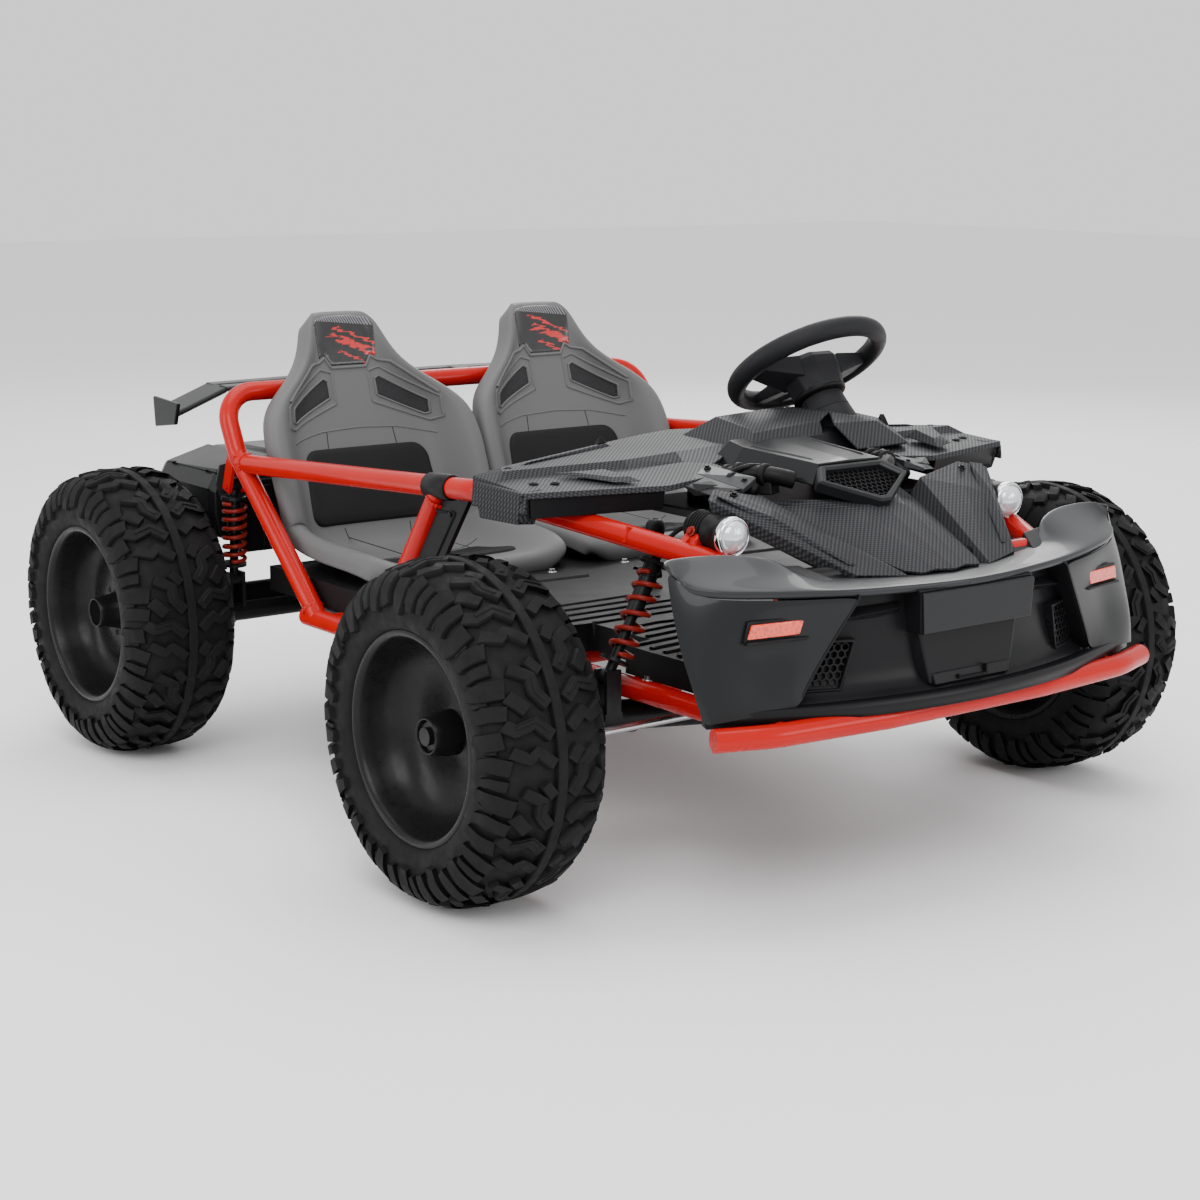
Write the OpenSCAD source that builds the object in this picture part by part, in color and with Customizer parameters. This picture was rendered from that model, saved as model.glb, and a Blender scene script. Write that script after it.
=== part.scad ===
// Two-seat electric buggy chassis for children.
// The nose points along -Y, the vehicle's left is +X and +Z is up.
// The origin is on the ground under the middle of the overall length.

/* [Overall] */
// Distance between the front and rear axles
wheelbase = 800; // [760:5:1000]
// Half of the overall width, to the outer face of the tyres
half_track = 533; // [510:1:660]
// Reach of the bumper ahead of the front axle
nose_reach = 323; // [315:1:400]
// Height of the steering wheel's centre above the axles
wheel_height = 348; // [330:1:430]

/* [Frame] */
// Outside diameter of the frame tubes
tube_d = 25.4; // [20:0.1:31]
// Half of the distance between the side rails' centre lines
frame_x = 349; // [320:1:365]
// Half of the distance between the lower rails where they pass the front wheels
front_rail_x = 255; // [235:1:262]
// Height of the lower rails above the axles
lower_rail_h = 25; // [20:1:40]
// Height of the side rails above the axles at the rear hoop
rail_rear_h = 202; // [180:1:240]
// Height of the side rails above the axles at their front bend
rail_front_h = 235; // [220:1:270]
// Height of the rear hoop's top bar above the axles
hoop_h = 290; // [275:1:340]
// Distance of the hoop's top bar ahead of the rear axle
hoop_setback = 72; // [60:1:85]
// Bend radius of the frame tubes on their centre line
bend_r = 60; // [45:1:70]

/* [Wheels] */
// Outside diameter of the tyres
tyre_d = 380; // [340:1:386]
// Width of the tyres
tyre_w = 145; // [120:1:160]
// Diameter of the rims where the beads sit
rim_d = 226; // [180:1:240]
// Diameter of the axles that the wheels turn on
axle_d = 20; // [14:0.5:24]
// Radial clearance of every running bore
run_gap = 0.05; // [0.01:0.01:0.10]
// Distance between kingpin and the inner face of the tyre
kingpin_offset = 58; // [50:1:70]

/* [Suspension] */
// Outside diameter of the coil springs
coil_d = 34; // [30:0.5:40]
// Diameter of the spring wire
wire_d = 5.5; // [4:0.1:6]
// Number of turns of each spring
coil_turns = 6; // [4:1:8]
// Diameter of the damper bodies
damper_d = 19; // [14:0.5:20]
// Diameter of the damper rods
rod_d = 12; // [8:0.5:14]
// Diameter of the shock absorbers' bolts
eye_bolt_d = 10; // [6:0.5:12]
// Diameter of the front arm tubes
arm_d = 38; // [30:1:40]

/* [Seats and panels] */
// Width of one seat shell
seat_w = 324; // [280:1:330]
// Distance of each seat's centre from the middle
seat_x = 166; // [165.5:0.5:175]
// Thickness of the seat shells
seat_wall = 12; // [8:0.5:14]
// Backward lean of the seat backs
seat_lean = 17; // [12:0.5:20]
// Wall thickness of moulded panels
panel_wall = 5; // [4:0.5:6]
// Radius of the bumper's bow, seen from above
bumper_bow = 616; // [580:1:700]
// Half of the bumper's width
bumper_half_w = 340; // [320:1:345]

/* [Steering] */
// Diameter of the steering wheel on the grip's centre line
grip_circle_d = 190; // [170:1:230]
// Diameter of the steering wheel's grip
grip_d = 27; // [20:0.5:30]
// Diameter of the steering shaft
shaft_d = 16; // [12:0.5:18]
// Angle between the steering shaft and the vertical
column_rake = 34.2; // [32:0.1:36]
// Length of the steering arms on the knuckles
steer_arm = 70; // [60:1:75]
// Diameter of the rack bar
rack_d = 14; // [10:0.5:16]

/* [Hidden] */
$fn = 48;
eps = 0.01;

tyre_r = tyre_d / 2;
tube_r = tube_d / 2;
axle_r = axle_d / 2;
rim_r = rim_d / 2;
axle_z = tyre_r;
front_y = (nose_reach - wheelbase - tyre_r) / 2;
wheel_x = half_track - tyre_w / 2;
tyre_inner_x = half_track - tyre_w;
kingpin_x = tyre_inner_x - kingpin_offset;

// frame points, measured from the point on the ground under the front axle
lower_z = axle_z + lower_rail_h;
hoop_top = [frame_x, wheelbase - hoop_setback, axle_z + hoop_h];
hoop_knee = [frame_x, wheelbase - 112, axle_z + rail_rear_h + 9];
hoop_foot = [frame_x, wheelbase - 313, lower_z];
knee_slope = (hoop_knee[2] - hoop_foot[2]) / (hoop_knee[1] - hoop_foot[1]);
rail_rear = [frame_x, hoop_knee[1] - 9 / knee_slope, axle_z + rail_rear_h];
rail_bend = [frame_x, 128, axle_z + rail_front_h];
rail_nose = [184, -250, axle_z + 162];
low_rear = [frame_x, wheelbase - 285, lower_z];
low_kink = [frame_x, 305, lower_z];
low_neck = [front_rail_x, 177, lower_z];
low_front = [front_rail_x, -295.5, lower_z];
bar_z = lower_z + 1;
bar_tip = [bumper_half_w - 7, -272, bar_z];
bar_mid = [270, -294, bar_z];
bar_front = [120, -308, bar_z];
door_top = [frame_x, 204, axle_z + rail_front_h - 9];
door_foot = [frame_x, 345, lower_z];
cross_ys = [-40, 130];
seat_cross_y = wheelbase - 430;
pivot_cross_y = wheelbase - 348;
nose_bar_end = rail_nose + [0, 20, 3.9];
strut_foot = [front_rail_x, -222, lower_z];

// front suspension, left side
arm_pivot = [100, 0, axle_z - 32];
arm_pin_d = 12;
// the shock absorber leans in by this much from the kingpin
shock_lean = 105;
front_eye_top = [kingpin_x - shock_lean, -48, axle_z + 182];
front_eye_low = [kingpin_x - 33, -48, axle_z + 45];
tie_z = axle_z - 10;
steer_stud_r = 3.5;
steer_sweep = 20;
stud_shift = steer_arm * (1 - cos(steer_sweep)) / 2;
stud_gap = stud_shift + 0.9;
rack_y = -steer_arm - 25;
rack_ear_x = arm_pivot[0];

// rear suspension
swing_pivot = [0, wheelbase - 330, axle_z - 10];
swing_x = 225;
swing_pin_r = 8;
rear_eye_top = [frame_x, wheelbase - 100, axle_z + 172];
rear_eye_low = [frame_x, wheelbase - 91, axle_z + 43];
eye_r = eye_bolt_d / 2 + 4;
eye_half_w = 6.5;

// steering column
wheel_centre = [seat_x, 144, axle_z + wheel_height];
column_dir = [0, -sin(column_rake), -cos(column_rake)];
grip_r = grip_circle_d / 2;
shaft_r = shaft_d / 2;
rack_r = rack_d / 2;
gearbox_reach = (wheel_centre[2] - tie_z - 18) / cos(column_rake);
shaft_end = (wheel_centre[2] - tie_z - 28) / cos(column_rake);

// floor, dash and bumper levels
floor_top = axle_z + 70;
floor_low = lower_z + tube_r;
body_tube_r = tube_r * 0.8;
dash_low = axle_z + 242;
dash_top = axle_z + 257;
bow_y = bumper_bow - nose_reach + 4;
insert_setback = 25;
lip_rise = 4.8;
face_top = axle_z + 164;
body_floor = axle_z + 98;

// a bend is a hair thicker than its tube and laps it, and tubes are coped with a hair of room
bend_swell = 0.06;
bend_overlap = 1;
weld_gap = 0.05;

RED = [0.86, 0.09, 0.07];
BLACK = [0.06, 0.06, 0.065];
DARK = [0.13, 0.13, 0.14];
GREY = [0.36, 0.36, 0.37];
WEAVE = [0.10, 0.10, 0.11];

// ---------- helpers ----------
module from_axle() {
    translate([0, front_y, 0]) children();
}

module both_sides() {
    children();
    mirror([1, 0, 0]) children();
}

module right_side() {
    mirror([1, 0, 0]) children();
}

function unit(v) = v / norm(v);
function flip(p) = [-p[0], p[1], p[2]];

module aim(a, b) {
    d = b - a;
    length = norm(d);
    translate(a) rotate([0, acos(d[2] / length), atan2(d[1], d[0])]) children();
}

module rod(a, b, r) {
    aim(a, b) cylinder(r = r, h = norm(b - a));
}

// distance from a corner to where its bend starts
function bend_run(a, b, c, radius) =
    radius * tan(acos(unit(b - a) * unit(c - b)) / 2);

module elbow(a, b, c, r, radius) {
    d1 = unit(b - a);
    d2 = unit(c - b);
    turn = acos(d1 * d2);
    start = b - d1 * bend_run(a, b, c, radius);
    side = unit(d2 - d1 * (d1 * d2));
    centre = start + side * radius;
    normal = cross(-side, d1);
    multmatrix([
        [-side[0], d1[0], normal[0], centre[0]],
        [-side[1], d1[1], normal[1], centre[1]],
        [-side[2], d1[2], normal[2], centre[2]],
        [0, 0, 0, 1]
    ]) rotate_extrude(angle = turn) translate([radius, 0]) circle(r = r + bend_swell);
}

// a tube through a list of corners, with one bend radius
module bent_tube(path, r, radius) {
    last = len(path) - 1;
    for (i = [0:last - 1]) {
        d = unit(path[i + 1] - path[i]);
        from = i == 0 ? path[0]
            : path[i] + d * (bend_run(path[i - 1], path[i], path[i + 1], radius) - bend_overlap);
        to = i == last - 1 ? path[last]
            : path[i + 1] - d * (bend_run(path[i], path[i + 1], path[i + 2], radius) - bend_overlap);
        rod(from, to, r);
    }
    for (i = [1:1:last - 1]) elbow(path[i - 1], path[i], path[i + 1], r, radius);
}

// a plate in a plane across X, from an outline of [y, z] points
module plate_x(x0, x1, outline) {
    translate([x0, 0, 0]) rotate([90, 0, 90]) linear_extrude(x1 - x0) polygon(outline);
}

// a plate in a plane across Y, from an outline of [x, z] points
module plate_y(y0, y1, outline) {
    translate([0, y1, 0]) rotate([90, 0, 0]) linear_extrude(y1 - y0) polygon(outline);
}

module cyl_x(x0, x1, y, z, r) {
    translate([x0, y, z]) rotate([0, 90, 0]) cylinder(r = r, h = x1 - x0);
}

module cyl_y(x, y0, y1, z, r) {
    translate([x, y0, z]) rotate([-90, 0, 0]) cylinder(r = r, h = y1 - y0);
}

// a strip of given half width between two points of a plane
function strip(p, q, w) =
    let (d = unit(q - p), n = [-d[1], d[0]])
    [p - n * w - d * w, p + n * w - d * w, q + n * w + d * w, q - n * w + d * w];

// ---------- frame ----------
module side_rail_solid(r) {
    bent_tube([rail_rear, rail_bend, rail_nose], r, bend_r);
}

module side_rail() {
    from_axle() difference() {
        side_rail_solid(tube_r);
        rod(hoop_foot, hoop_knee + (hoop_knee - hoop_foot) * 0.2, tube_r + weld_gap);
    }
}

module side_rail_left() {
    color(RED) side_rail();
}

module side_rail_right() {
    color(RED) right_side() side_rail();
}

module rear_hoop() {
    color(RED) from_axle() difference() {
        bent_tube([hoop_foot, hoop_knee, hoop_top, flip(hoop_top), flip(hoop_knee), flip(hoop_foot)],
            tube_r, bend_r * 0.75);
        both_sides() rod(low_rear, low_kink, tube_r + weld_gap);
    }
}

module lower_rail_solid(r) {
    bent_tube([low_rear, low_kink, low_neck, low_front], r, bend_r);
}

module lower_rails() {
    color(RED) from_axle() both_sides() difference() {
        lower_rail_solid(tube_r);
        bumper_bar_solid(tube_r + weld_gap);
    }
}

module door_tubes() {
    color(RED) from_axle() both_sides() difference() {
        rod(door_foot, door_top, tube_r);
        lower_rail_solid(tube_r + weld_gap);
        rod(rail_rear, rail_bend, tube_r + weld_gap);
    }
}

module cross_tube(y, x, r) {
    rod([-x, y, lower_z], [x, y, lower_z], r);
}

module cross_tubes() {
    color(RED) from_axle() {
        difference() {
            for (y = cross_ys) cross_tube(y, front_rail_x, tube_r);
            both_sides() rod(low_neck, low_front, tube_r + weld_gap);
        }
        difference() {
            for (y = [seat_cross_y, pivot_cross_y]) cross_tube(y, frame_x, tube_r);
            both_sides() rod(low_rear, low_kink, tube_r + weld_gap);
        }
        difference() {
            rod(flip(nose_bar_end), nose_bar_end, tube_r);
            both_sides() rod(rail_bend, rail_nose, tube_r + weld_gap);
        }
        // two struts hold the side rails' front ends above the lower rails
        both_sides() difference() {
            rod([rail_nose[0] + 6, strut_foot[1], rail_nose[2] + 5], strut_foot, tube_r * 0.7);
            rod(rail_bend, rail_nose, tube_r);
            rod(flip(nose_bar_end), nose_bar_end, tube_r);
            rod(low_neck, low_front, tube_r);
        }
        // tubes that carry the rear body
        both_sides() difference() {
            bent_tube([[150, pivot_cross_y, lower_z], [150, wheelbase - 145, lower_z],
                [150, wheelbase + 60, body_floor - body_tube_r]], body_tube_r, bend_r);
            cross_tube(pivot_cross_y, frame_x, tube_r);
            translate([0, 0, body_floor]) cube([300, 2000, 50]);
        }
    }
}

module bumper_bar_solid(r) {
    bent_tube([bar_tip, bar_mid, bar_front, flip(bar_front), flip(bar_mid), flip(bar_tip)],
        r, 150);
}

module bumper_bar() {
    color(RED) from_axle() bumper_bar_solid(tube_r);
}

// two ears that hold a shock absorber's eye between them
module front_ears() {
    tube_at = rail_bend + (rail_nose - rail_bend) * ((front_eye_top[1] - rail_bend[1])
        / (rail_nose[1] - rail_bend[1]));
    for (side = [-1, 1])
        translate([0, front_eye_top[1] + side * (eye_half_w + 3), 0])
            plate_y(-2.5, 2.5, strip([front_eye_top[0], front_eye_top[2]], [tube_at[0], tube_at[2]], eye_r));
}

module rear_ears() {
    for (side = [-1, 1])
        translate([rear_eye_top[0] + side * (eye_half_w + 3), 0, 0])
            plate_x(-2.5, 2.5, strip([rear_eye_top[1], rear_eye_top[2]],
                [hoop_knee[1], hoop_knee[2] - 4], eye_r));
}

module headlight_foot() {
    plate_y(-118, -108, [
        [headlight_x - 9, headlight_z], [headlight_x + 14, headlight_z],
        [headlight_x + 40, headlight_z - 22], [headlight_x + 20, headlight_z - 36]
    ]);
}

module pivot_plate(x) {
    plate_x(x - 3, x + 3, [
        [swing_pivot[1] - 16, swing_pivot[2] - 16], [swing_pivot[1] + 14, swing_pivot[2] - 16],
        [pivot_cross_y + 14, lower_z], [pivot_cross_y, lower_z], [swing_pivot[1] - 16, swing_pivot[2] + 10]
    ]);
}

module arm_pivot_plates() {
    difference() {
        union() {
            for (y = [-1, 1] * (arm_d / 2 + 3.5))
                plate_y(y - 3, y + 3, [
                    [arm_pivot[0] - 14, arm_pivot[2] - 14], [arm_pivot[0] + 12, arm_pivot[2] - 14],
                    [arm_pivot[0] + 12, floor_low - 1], [arm_pivot[0] - 14, floor_low - 1]
                ]);
            // the plates hang from a channel that reaches both front cross tubes
            translate([arm_pivot[0] - 14, cross_ys[0], lower_z + 6])
                cube([26, cross_ys[1] - cross_ys[0], floor_low - lower_z - 7]);
        }
        for (y = cross_ys) cross_tube(y, front_rail_x, tube_r);
    }
}

module frame_brackets() {
    color(RED) from_axle() both_sides() {
        difference() {
            union() {
                front_ears();
                cyl_y(front_eye_top[0], front_eye_top[1] - eye_half_w - 7,
                    front_eye_top[1] + eye_half_w + 7, front_eye_top[2], eye_bolt_d / 2);
            }
            side_rail_solid(tube_r);
        }
        difference() {
            union() {
                rear_ears();
                cyl_x(rear_eye_top[0] - eye_half_w - 7, rear_eye_top[0] + eye_half_w + 7,
                    rear_eye_top[1], rear_eye_top[2], eye_bolt_d / 2);
            }
            bent_tube([hoop_foot, hoop_knee, hoop_top], tube_r, bend_r * 0.75);
            rod(rail_rear, rail_bend, tube_r);
        }
        difference() {
            headlight_foot();
            cyl_y(headlight_x, -200, 0, headlight_z, headlight_r);
            side_rail_solid(tube_r);
        }
        difference() {
            for (x = [swing_x - 23, swing_x + 23]) pivot_plate(x);
            cross_tube(pivot_cross_y, frame_x, tube_r);
            cyl_x(swing_x - 40, swing_x + 40, swing_pivot[1], swing_pivot[2], swing_pin_r);
        }
        difference() {
            arm_pivot_plates();
            cyl_y(arm_pivot[0], -arm_d, arm_d, arm_pivot[2], arm_pin_d / 2);
        }
    }
}

module pivot_bolts() {
    color("silver") from_axle() {
        both_sides() {
            cyl_y(arm_pivot[0], -arm_d / 2 - 10, arm_d / 2 + 10, arm_pivot[2], arm_pin_d / 2);
            translate([arm_pivot[0], -arm_d / 2 - 10, arm_pivot[2]]) rotate([90, 0, 0])
                cylinder(r = 10, h = 6, $fn = 6);
            cyl_x(swing_x - 34, swing_x + 34, swing_pivot[1], swing_pivot[2], swing_pin_r);
            translate([swing_x + 34, swing_pivot[1], swing_pivot[2]]) rotate([0, 90, 0])
                cylinder(r = 14, h = 8, $fn = 6);
        }
    }
}

module floor_pan() {
    edge = frame_x - tube_r - 1;
    waist = front_rail_x - 5;
    outline = [
        [waist, -206], [waist, -20], [waist - 40, -14], [waist - 40, 96], [waist, 102],
        [waist, low_neck[1]], [edge, low_kink[1]], [edge, wheelbase - 165]
    ];
    half = concat(outline, [for (i = [len(outline) - 1:-1:0]) [-outline[i][0], outline[i][1]]]);
    inner_scale = 1 - panel_wall / edge;
    color(DARK) from_axle() difference() {
        translate([0, 0, floor_low]) linear_extrude(floor_top - floor_low) polygon(half);
        translate([0, 0, floor_low - 1]) linear_extrude(floor_top - floor_low - panel_wall + 1)
            polygon([for (p = half) [p[0] * inner_scale, (p[1] - 195) * (1 - panel_wall / 440) + 195]]);
        rod(wheel_centre, wheel_centre + column_dir * 420, shaft_r + 8);
    }
}

// ---------- seats ----------
// the backs lean on the rear hoop
seat_to_hoop = 73.3;
seat_hip = [wheelbase - hoop_setback - tube_r - seat_to_hoop, floor_top + 26];
seat_back_h = 285;

seat_side = [
    [seat_hip[0] - 226, floor_top + 14], [seat_hip[0] - 232, floor_top + 32],
    [seat_hip[0] - 70, floor_top + 24], [seat_hip[0] - 18, floor_top + 34],
    [seat_hip[0] + 4, floor_top + 60], [seat_hip[0] + 18, floor_top + 56],
    [seat_hip[0] + 2, floor_top + 10], [seat_hip[0] - 40, floor_top + 6]
];

module seat_shell() {
    half = seat_w / 2;
    back = [
        [half - 22, 0], [half - 4, 60], [half, 120], [half - 6, 160], [half - 40, 185],
        [62, 215], [54, 250], [46, seat_back_h - 12], [28, seat_back_h]
    ];
    outline = concat(back, [for (i = [len(back) - 1:-1:0]) [-back[i][0], back[i][1]]]);
    wing = [
        [seat_hip[0] - 218, floor_top + 18], [seat_hip[0] - 150, floor_top + 52],
        [seat_hip[0] - 50, floor_top + 84], [seat_hip[0] - 16, floor_top + 186],
        [seat_hip[0] + 28, floor_top + 190], [seat_hip[0] + 10, floor_top + 20],
        [seat_hip[0] - 40, floor_top + 6]
    ];
    union() {
        translate([0, seat_hip[0], seat_hip[1]]) rotate([90 - seat_lean, 0, 0])
            translate([0, 0, -seat_wall]) linear_extrude(seat_wall) polygon(outline);
        plate_x(-half, half, seat_side);
        for (side = [-1, 1])
            translate([side * (half - seat_wall / 2), 0, 0])
                plate_x(-seat_wall / 2, seat_wall / 2, wing);
        // four feet stand on the floor pan
        for (x = [-1, 1] * (half - 60), y = [seat_hip[0] - 190, seat_hip[0] - 40])
            translate([x - 15, y - 15, floor_top]) cube([30, 30, 16]);
    }
}

module seat_left() {
    color(GREY) from_axle() translate([seat_x, 0, 0]) seat_shell();
}

module seat_right() {
    color(GREY) from_axle() translate([-seat_x, 0, 0]) seat_shell();
}

module seat_pads() {
    pad_half = seat_w / 2 - 65;
    color(DARK) from_axle() both_sides() translate([seat_x, 0, 0]) {
        translate([0, seat_hip[0], seat_hip[1]]) rotate([90 - seat_lean, 0, 0])
            translate([-pad_half, 36, 0]) cube([2 * pad_half, 96, 8]);
        plate_x(-pad_half, pad_half, [
            [seat_hip[0] - 215, floor_top + 31.16], [seat_hip[0] - 215, floor_top + 38],
            [seat_hip[0] - 75, floor_top + 31], [seat_hip[0] - 75, floor_top + 24.25]
        ]);
    }
}

// ---------- body panels ----------
module dash_beam() {
    edge = frame_x + 24;
    half = [
        [0, -60], [210, -46], [300, -18], [edge, -4], [edge, 112], [328, 116],
        [125, 177], [20, 222], [0, 225]
    ];
    outline = concat(half, [for (i = [len(half) - 2:-1:1]) [-half[i][0], half[i][1]]]);
    color(WEAVE) from_axle() difference() {
        union() {
            translate([0, 0, dash_low]) linear_extrude(dash_top - dash_low) polygon(outline);
            both_sides() translate([frame_x - 4, 20, rail_bend[2] - 24]) cube([26, 88, 36]);
        }
        both_sides() side_rail_solid(tube_r + 0.5);
        rod(wheel_centre, wheel_centre + column_dir * 300, shaft_r + 8);
        // the engine bay behind the scoop
        translate([-95, -70, dash_low - 1]) cube([190, 120, 40]);
    }
}

module corner_hull(points) {
    hull() for (p = points) translate(p) cube(1);
}

// the hood's top falls evenly from the dash to its tip
hood_back_y = -62;
hood_tip_y = -300;
hood_wall = 9;
hood_tip_z = axle_z + 188;
function hood_z(y) = hood_tip_z + (y - hood_tip_y) * (dash_low - 1 - hood_tip_z) / (hood_back_y - hood_tip_y);

module hood() {
    color(WEAVE) from_axle() both_sides() corner_hull([
        for (p = [[8, hood_back_y], [205, hood_back_y], [1, hood_tip_y], [64, hood_tip_y + 8]], drop = [1, hood_wall])
            [p[0], p[1], hood_z(p[1]) - drop]
    ]);
}

module engine_cover() {
    low = dash_top - 4;
    color(DARK) from_axle() corner_hull([
        [-80, -60, low], [79, -60, low], [-84, 40, low], [83, 40, low],
        [-52, -56, low + 24], [51, -56, low + 24], [-66, 30, low + 26], [65, 30, low + 26]
    ]);
}

module intake_scoop() {
    low = hood_z(-150) + 0.5;
    back = hood_z(hood_back_y - 2) + 0.5;
    color(DARK) from_axle() difference() {
        corner_hull([
            [-70, -64, back], [69, -64, back], [-44, -150, low], [43, -150, low],
            [-74, -64, back + 34], [73, -64, back + 34], [-50, -168, low + 42], [49, -168, low + 42]
        ]);
        corner_hull([
            [-38, -200, low + 10], [37, -200, low + 10], [-46, -84, back + 4], [45, -84, back + 4],
            [-42, -200, low + 36], [41, -200, low + 36], [-50, -84, back + 28], [49, -84, back + 28]
        ]);
    }
}

module column_shroud() {
    color(DARK) from_axle() difference() {
        aim(wheel_centre + column_dir * 48, wheel_centre + column_dir * 130)
            cylinder(r1 = 24, r2 = 40, h = 82);
        rod(wheel_centre, wheel_centre + column_dir * 300, shaft_r + run_gap);
        translate([0, -100, dash_top - 100]) cube([400, 400, 100]);
    }
}

module steering_gearbox() {
    color(BLACK) from_axle() difference() {
        union() {
            translate([wheel_centre[0] - 21, rack_y - 18, tie_z - 18]) cube([42, 38, 36]);
            cyl_x(-rack_ear_x + 40, rack_ear_x - 40, rack_y, tie_z, rack_r + 6);
            // both housings hang from the front cross tube, above the tie rods
            for (x = [0, wheel_centre[0]])
                translate([x - 21, rack_y - 18, tie_z + 13]) cube([42, cross_ys[0] - rack_y + 18, 22]);
            translate([-21, rack_y - 10, tie_z]) cube([42, 20, 20]);
        }
        cyl_x(-400, 400, rack_y, tie_z, rack_r + run_gap);
        rod(wheel_centre, wheel_centre + column_dir * gearbox_reach, shaft_r + run_gap);
        cross_tube(cross_ys[0], front_rail_x, tube_r);
    }
}

// a curved wall that follows the bumper's bow
module bow_wall(outer, wall, z0, z1, half_w) {
    translate([0, 0, z0]) intersection() {
        translate([0, bow_y, 0]) difference() {
            cylinder(r = outer, h = z1 - z0, $fn = 160);
            translate([0, 0, -1]) cylinder(r = outer - wall, h = z1 - z0 + 2, $fn = 160);
        }
        translate([-half_w, -nose_reach - 10, 0]) cube([2 * half_w, 300, z1 - z0]);
    }
}

module bumper_shell() {
    color(DARK) from_axle() difference() {
        union() {
            bow_wall(bumper_bow, panel_wall + 1, lower_z + 22, face_top + 40, bumper_half_w);
            bow_wall(bumper_bow + 4, 44, face_top - 2, face_top + 40, bumper_half_w);
        }
        // the lip rises towards the sides
        both_sides() translate([0, -500, face_top + panel_wall]) rotate([0, -lip_rise, 0])
            translate([-20, 0, 0]) cube([500, 600, 100]);
        both_sides() difference() {
            translate([0, -500, face_top]) rotate([0, -lip_rise, 0])
                translate([-20, 0, -60]) cube([500, 600, 60]);
            translate([0, bow_y, 0]) difference() {
                cylinder(r = 900, h = 900);
                cylinder(r = bumper_bow - eps, h = 900, $fn = 160);
            }
            bow_wall(bumper_bow, panel_wall + 1, 0, 900, 500);
        }
        // the mouth
        plate_y(-500, 0, [
            [-225, lower_z + 27], [225, lower_z + 27], [215, lower_z + 60],
            [165, face_top - 4], [-165, face_top - 4], [-215, lower_z + 60]
        ]);
        // room for the headlights behind the lip
        both_sides() translate([headlight_x, -130, headlight_z]) rotate([90, 0, 0])
            cylinder(r = headlight_r + 6, h = 60);
        both_sides() side_rail_solid(tube_r + 2);
    }
}

module bumper_insert() {
    outer = bumper_bow - insert_setback;
    color(BLACK) from_axle() {
        bow_wall(outer, panel_wall, lower_z + 16, face_top - 3, 226);
        difference() {
            union() {
                translate([-86, -nose_reach + 2, axle_z + 112]) cube([172, 40, 46]);
                plate_y(-nose_reach + 12, -nose_reach + 50, [
                    [-62, lower_z + 29], [62, lower_z + 29], [76, axle_z + 112], [-76, axle_z + 112]
                ]);
            }
            translate([0, bow_y, 0]) cylinder(r = outer, h = 600, $fn = 160);
        }
    }
}

module marker_lights() {
    color([0.95, 0.25, 0.12]) from_axle() both_sides() intersection() {
        bow_wall(bumper_bow + 2.5, 2.5, axle_z + 122, axle_z + 142, bumper_half_w);
        translate([218, -500, 0]) cube([70, 500, 900]);
    }
}

headlight_x = 215;
headlight_z = axle_z + 215;
headlight_r = 19;

module headlights() {
    color(BLACK) from_axle() both_sides() difference() {
        cyl_y(headlight_x, -160, -96, headlight_z, headlight_r);
        cyl_y(headlight_x, -170, -140, headlight_z, headlight_r - 3);
    }
}

module headlight_lenses() {
    color("white") from_axle() both_sides() intersection() {
        cyl_y(headlight_x, -166, -140, headlight_z, headlight_r - 3);
        translate([headlight_x, -138, headlight_z]) sphere(r = 28);
    }
}

module side_panels() {
    top = rail_bend[2] - tube_r - 0.5;
    color(BLACK) from_axle() both_sides() difference() {
        plate_x(frame_x - 3, frame_x + 3, [
            [140, top + 1], [232, top - 12], [334, lower_z + 26], [318, floor_top + 4], [235, axle_z + 90]
        ]);
        rod(door_foot, door_top, tube_r + 0.3);
        rod(rail_rear, rail_bend, tube_r + 0.3);
    }
}

// ---------- rear body ----------
function body_outline(inset) = [
    [-356 + inset, body_floor], [-362 + inset, axle_z + 150], [-352 + inset, axle_z + 182 - inset / 2],
    [-274 + inset / 2, axle_z + 198 - inset], [274 - inset / 2, axle_z + 198 - inset],
    [352 - inset, axle_z + 182 - inset / 2], [362 - inset, axle_z + 150], [356 - inset, body_floor]
];

module rear_body() {
    color(DARK) from_axle() difference() {
        plate_y(wheelbase - 62, wheelbase + 105, body_outline(0));
        difference() {
            plate_y(wheelbase - 62 + panel_wall, wheelbase + 105 - panel_wall, body_outline(panel_wall));
            translate([-500, 0, 0]) cube([1000, 2000, body_floor + panel_wall]);
        }
    }
}

module battery_pack() {
    color(BLACK) from_axle()
        translate([-95, wheelbase - 40, body_floor + panel_wall]) cube([190, 110, 76]);
}

module spoiler() {
    top = axle_z + 286;
    back = wheelbase + 105;
    color(DARK) from_axle() {
        plate_y(back - 55, back, [
            [-355, top - 38], [-355, top - 30], [-280, top], [280, top], [355, top - 30],
            [355, top - 38], [278, top - 8], [-278, top - 8]
        ]);
        both_sides() plate_x(355, 360, [
            [back - 62, top - 22], [back + 8, top - 16], [back + 2, top - 56], [back - 55, top - 50]
        ]);
        both_sides() translate([86, back - 45, axle_z + 198]) cube([8, 34, 80]);
    }
}

// ---------- steering ----------
module at_wheel() {
    translate(wheel_centre) rotate([column_rake * -1, 0, 0]) children();
}

module steering_wheel() {
    color(DARK) from_axle() at_wheel() {
        rotate_extrude() translate([grip_r, 0]) circle(r = grip_d / 2, $fn = 24);
        difference() {
            union() {
                for (a = [0, 90, 180]) rotate([0, 0, a])
                    translate([0, -15, -20]) cube([grip_r, 30, 16]);
                translate([0, 0, -46]) cylinder(r = 33, h = 46);
            }
            // the push button's well and the shaft's socket
            translate([0, 0, -10]) cylinder(r = 16.5, h = 20);
            translate([0, 0, -60]) cylinder(r = shaft_r, h = 40);
        }
    }
}

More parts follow.
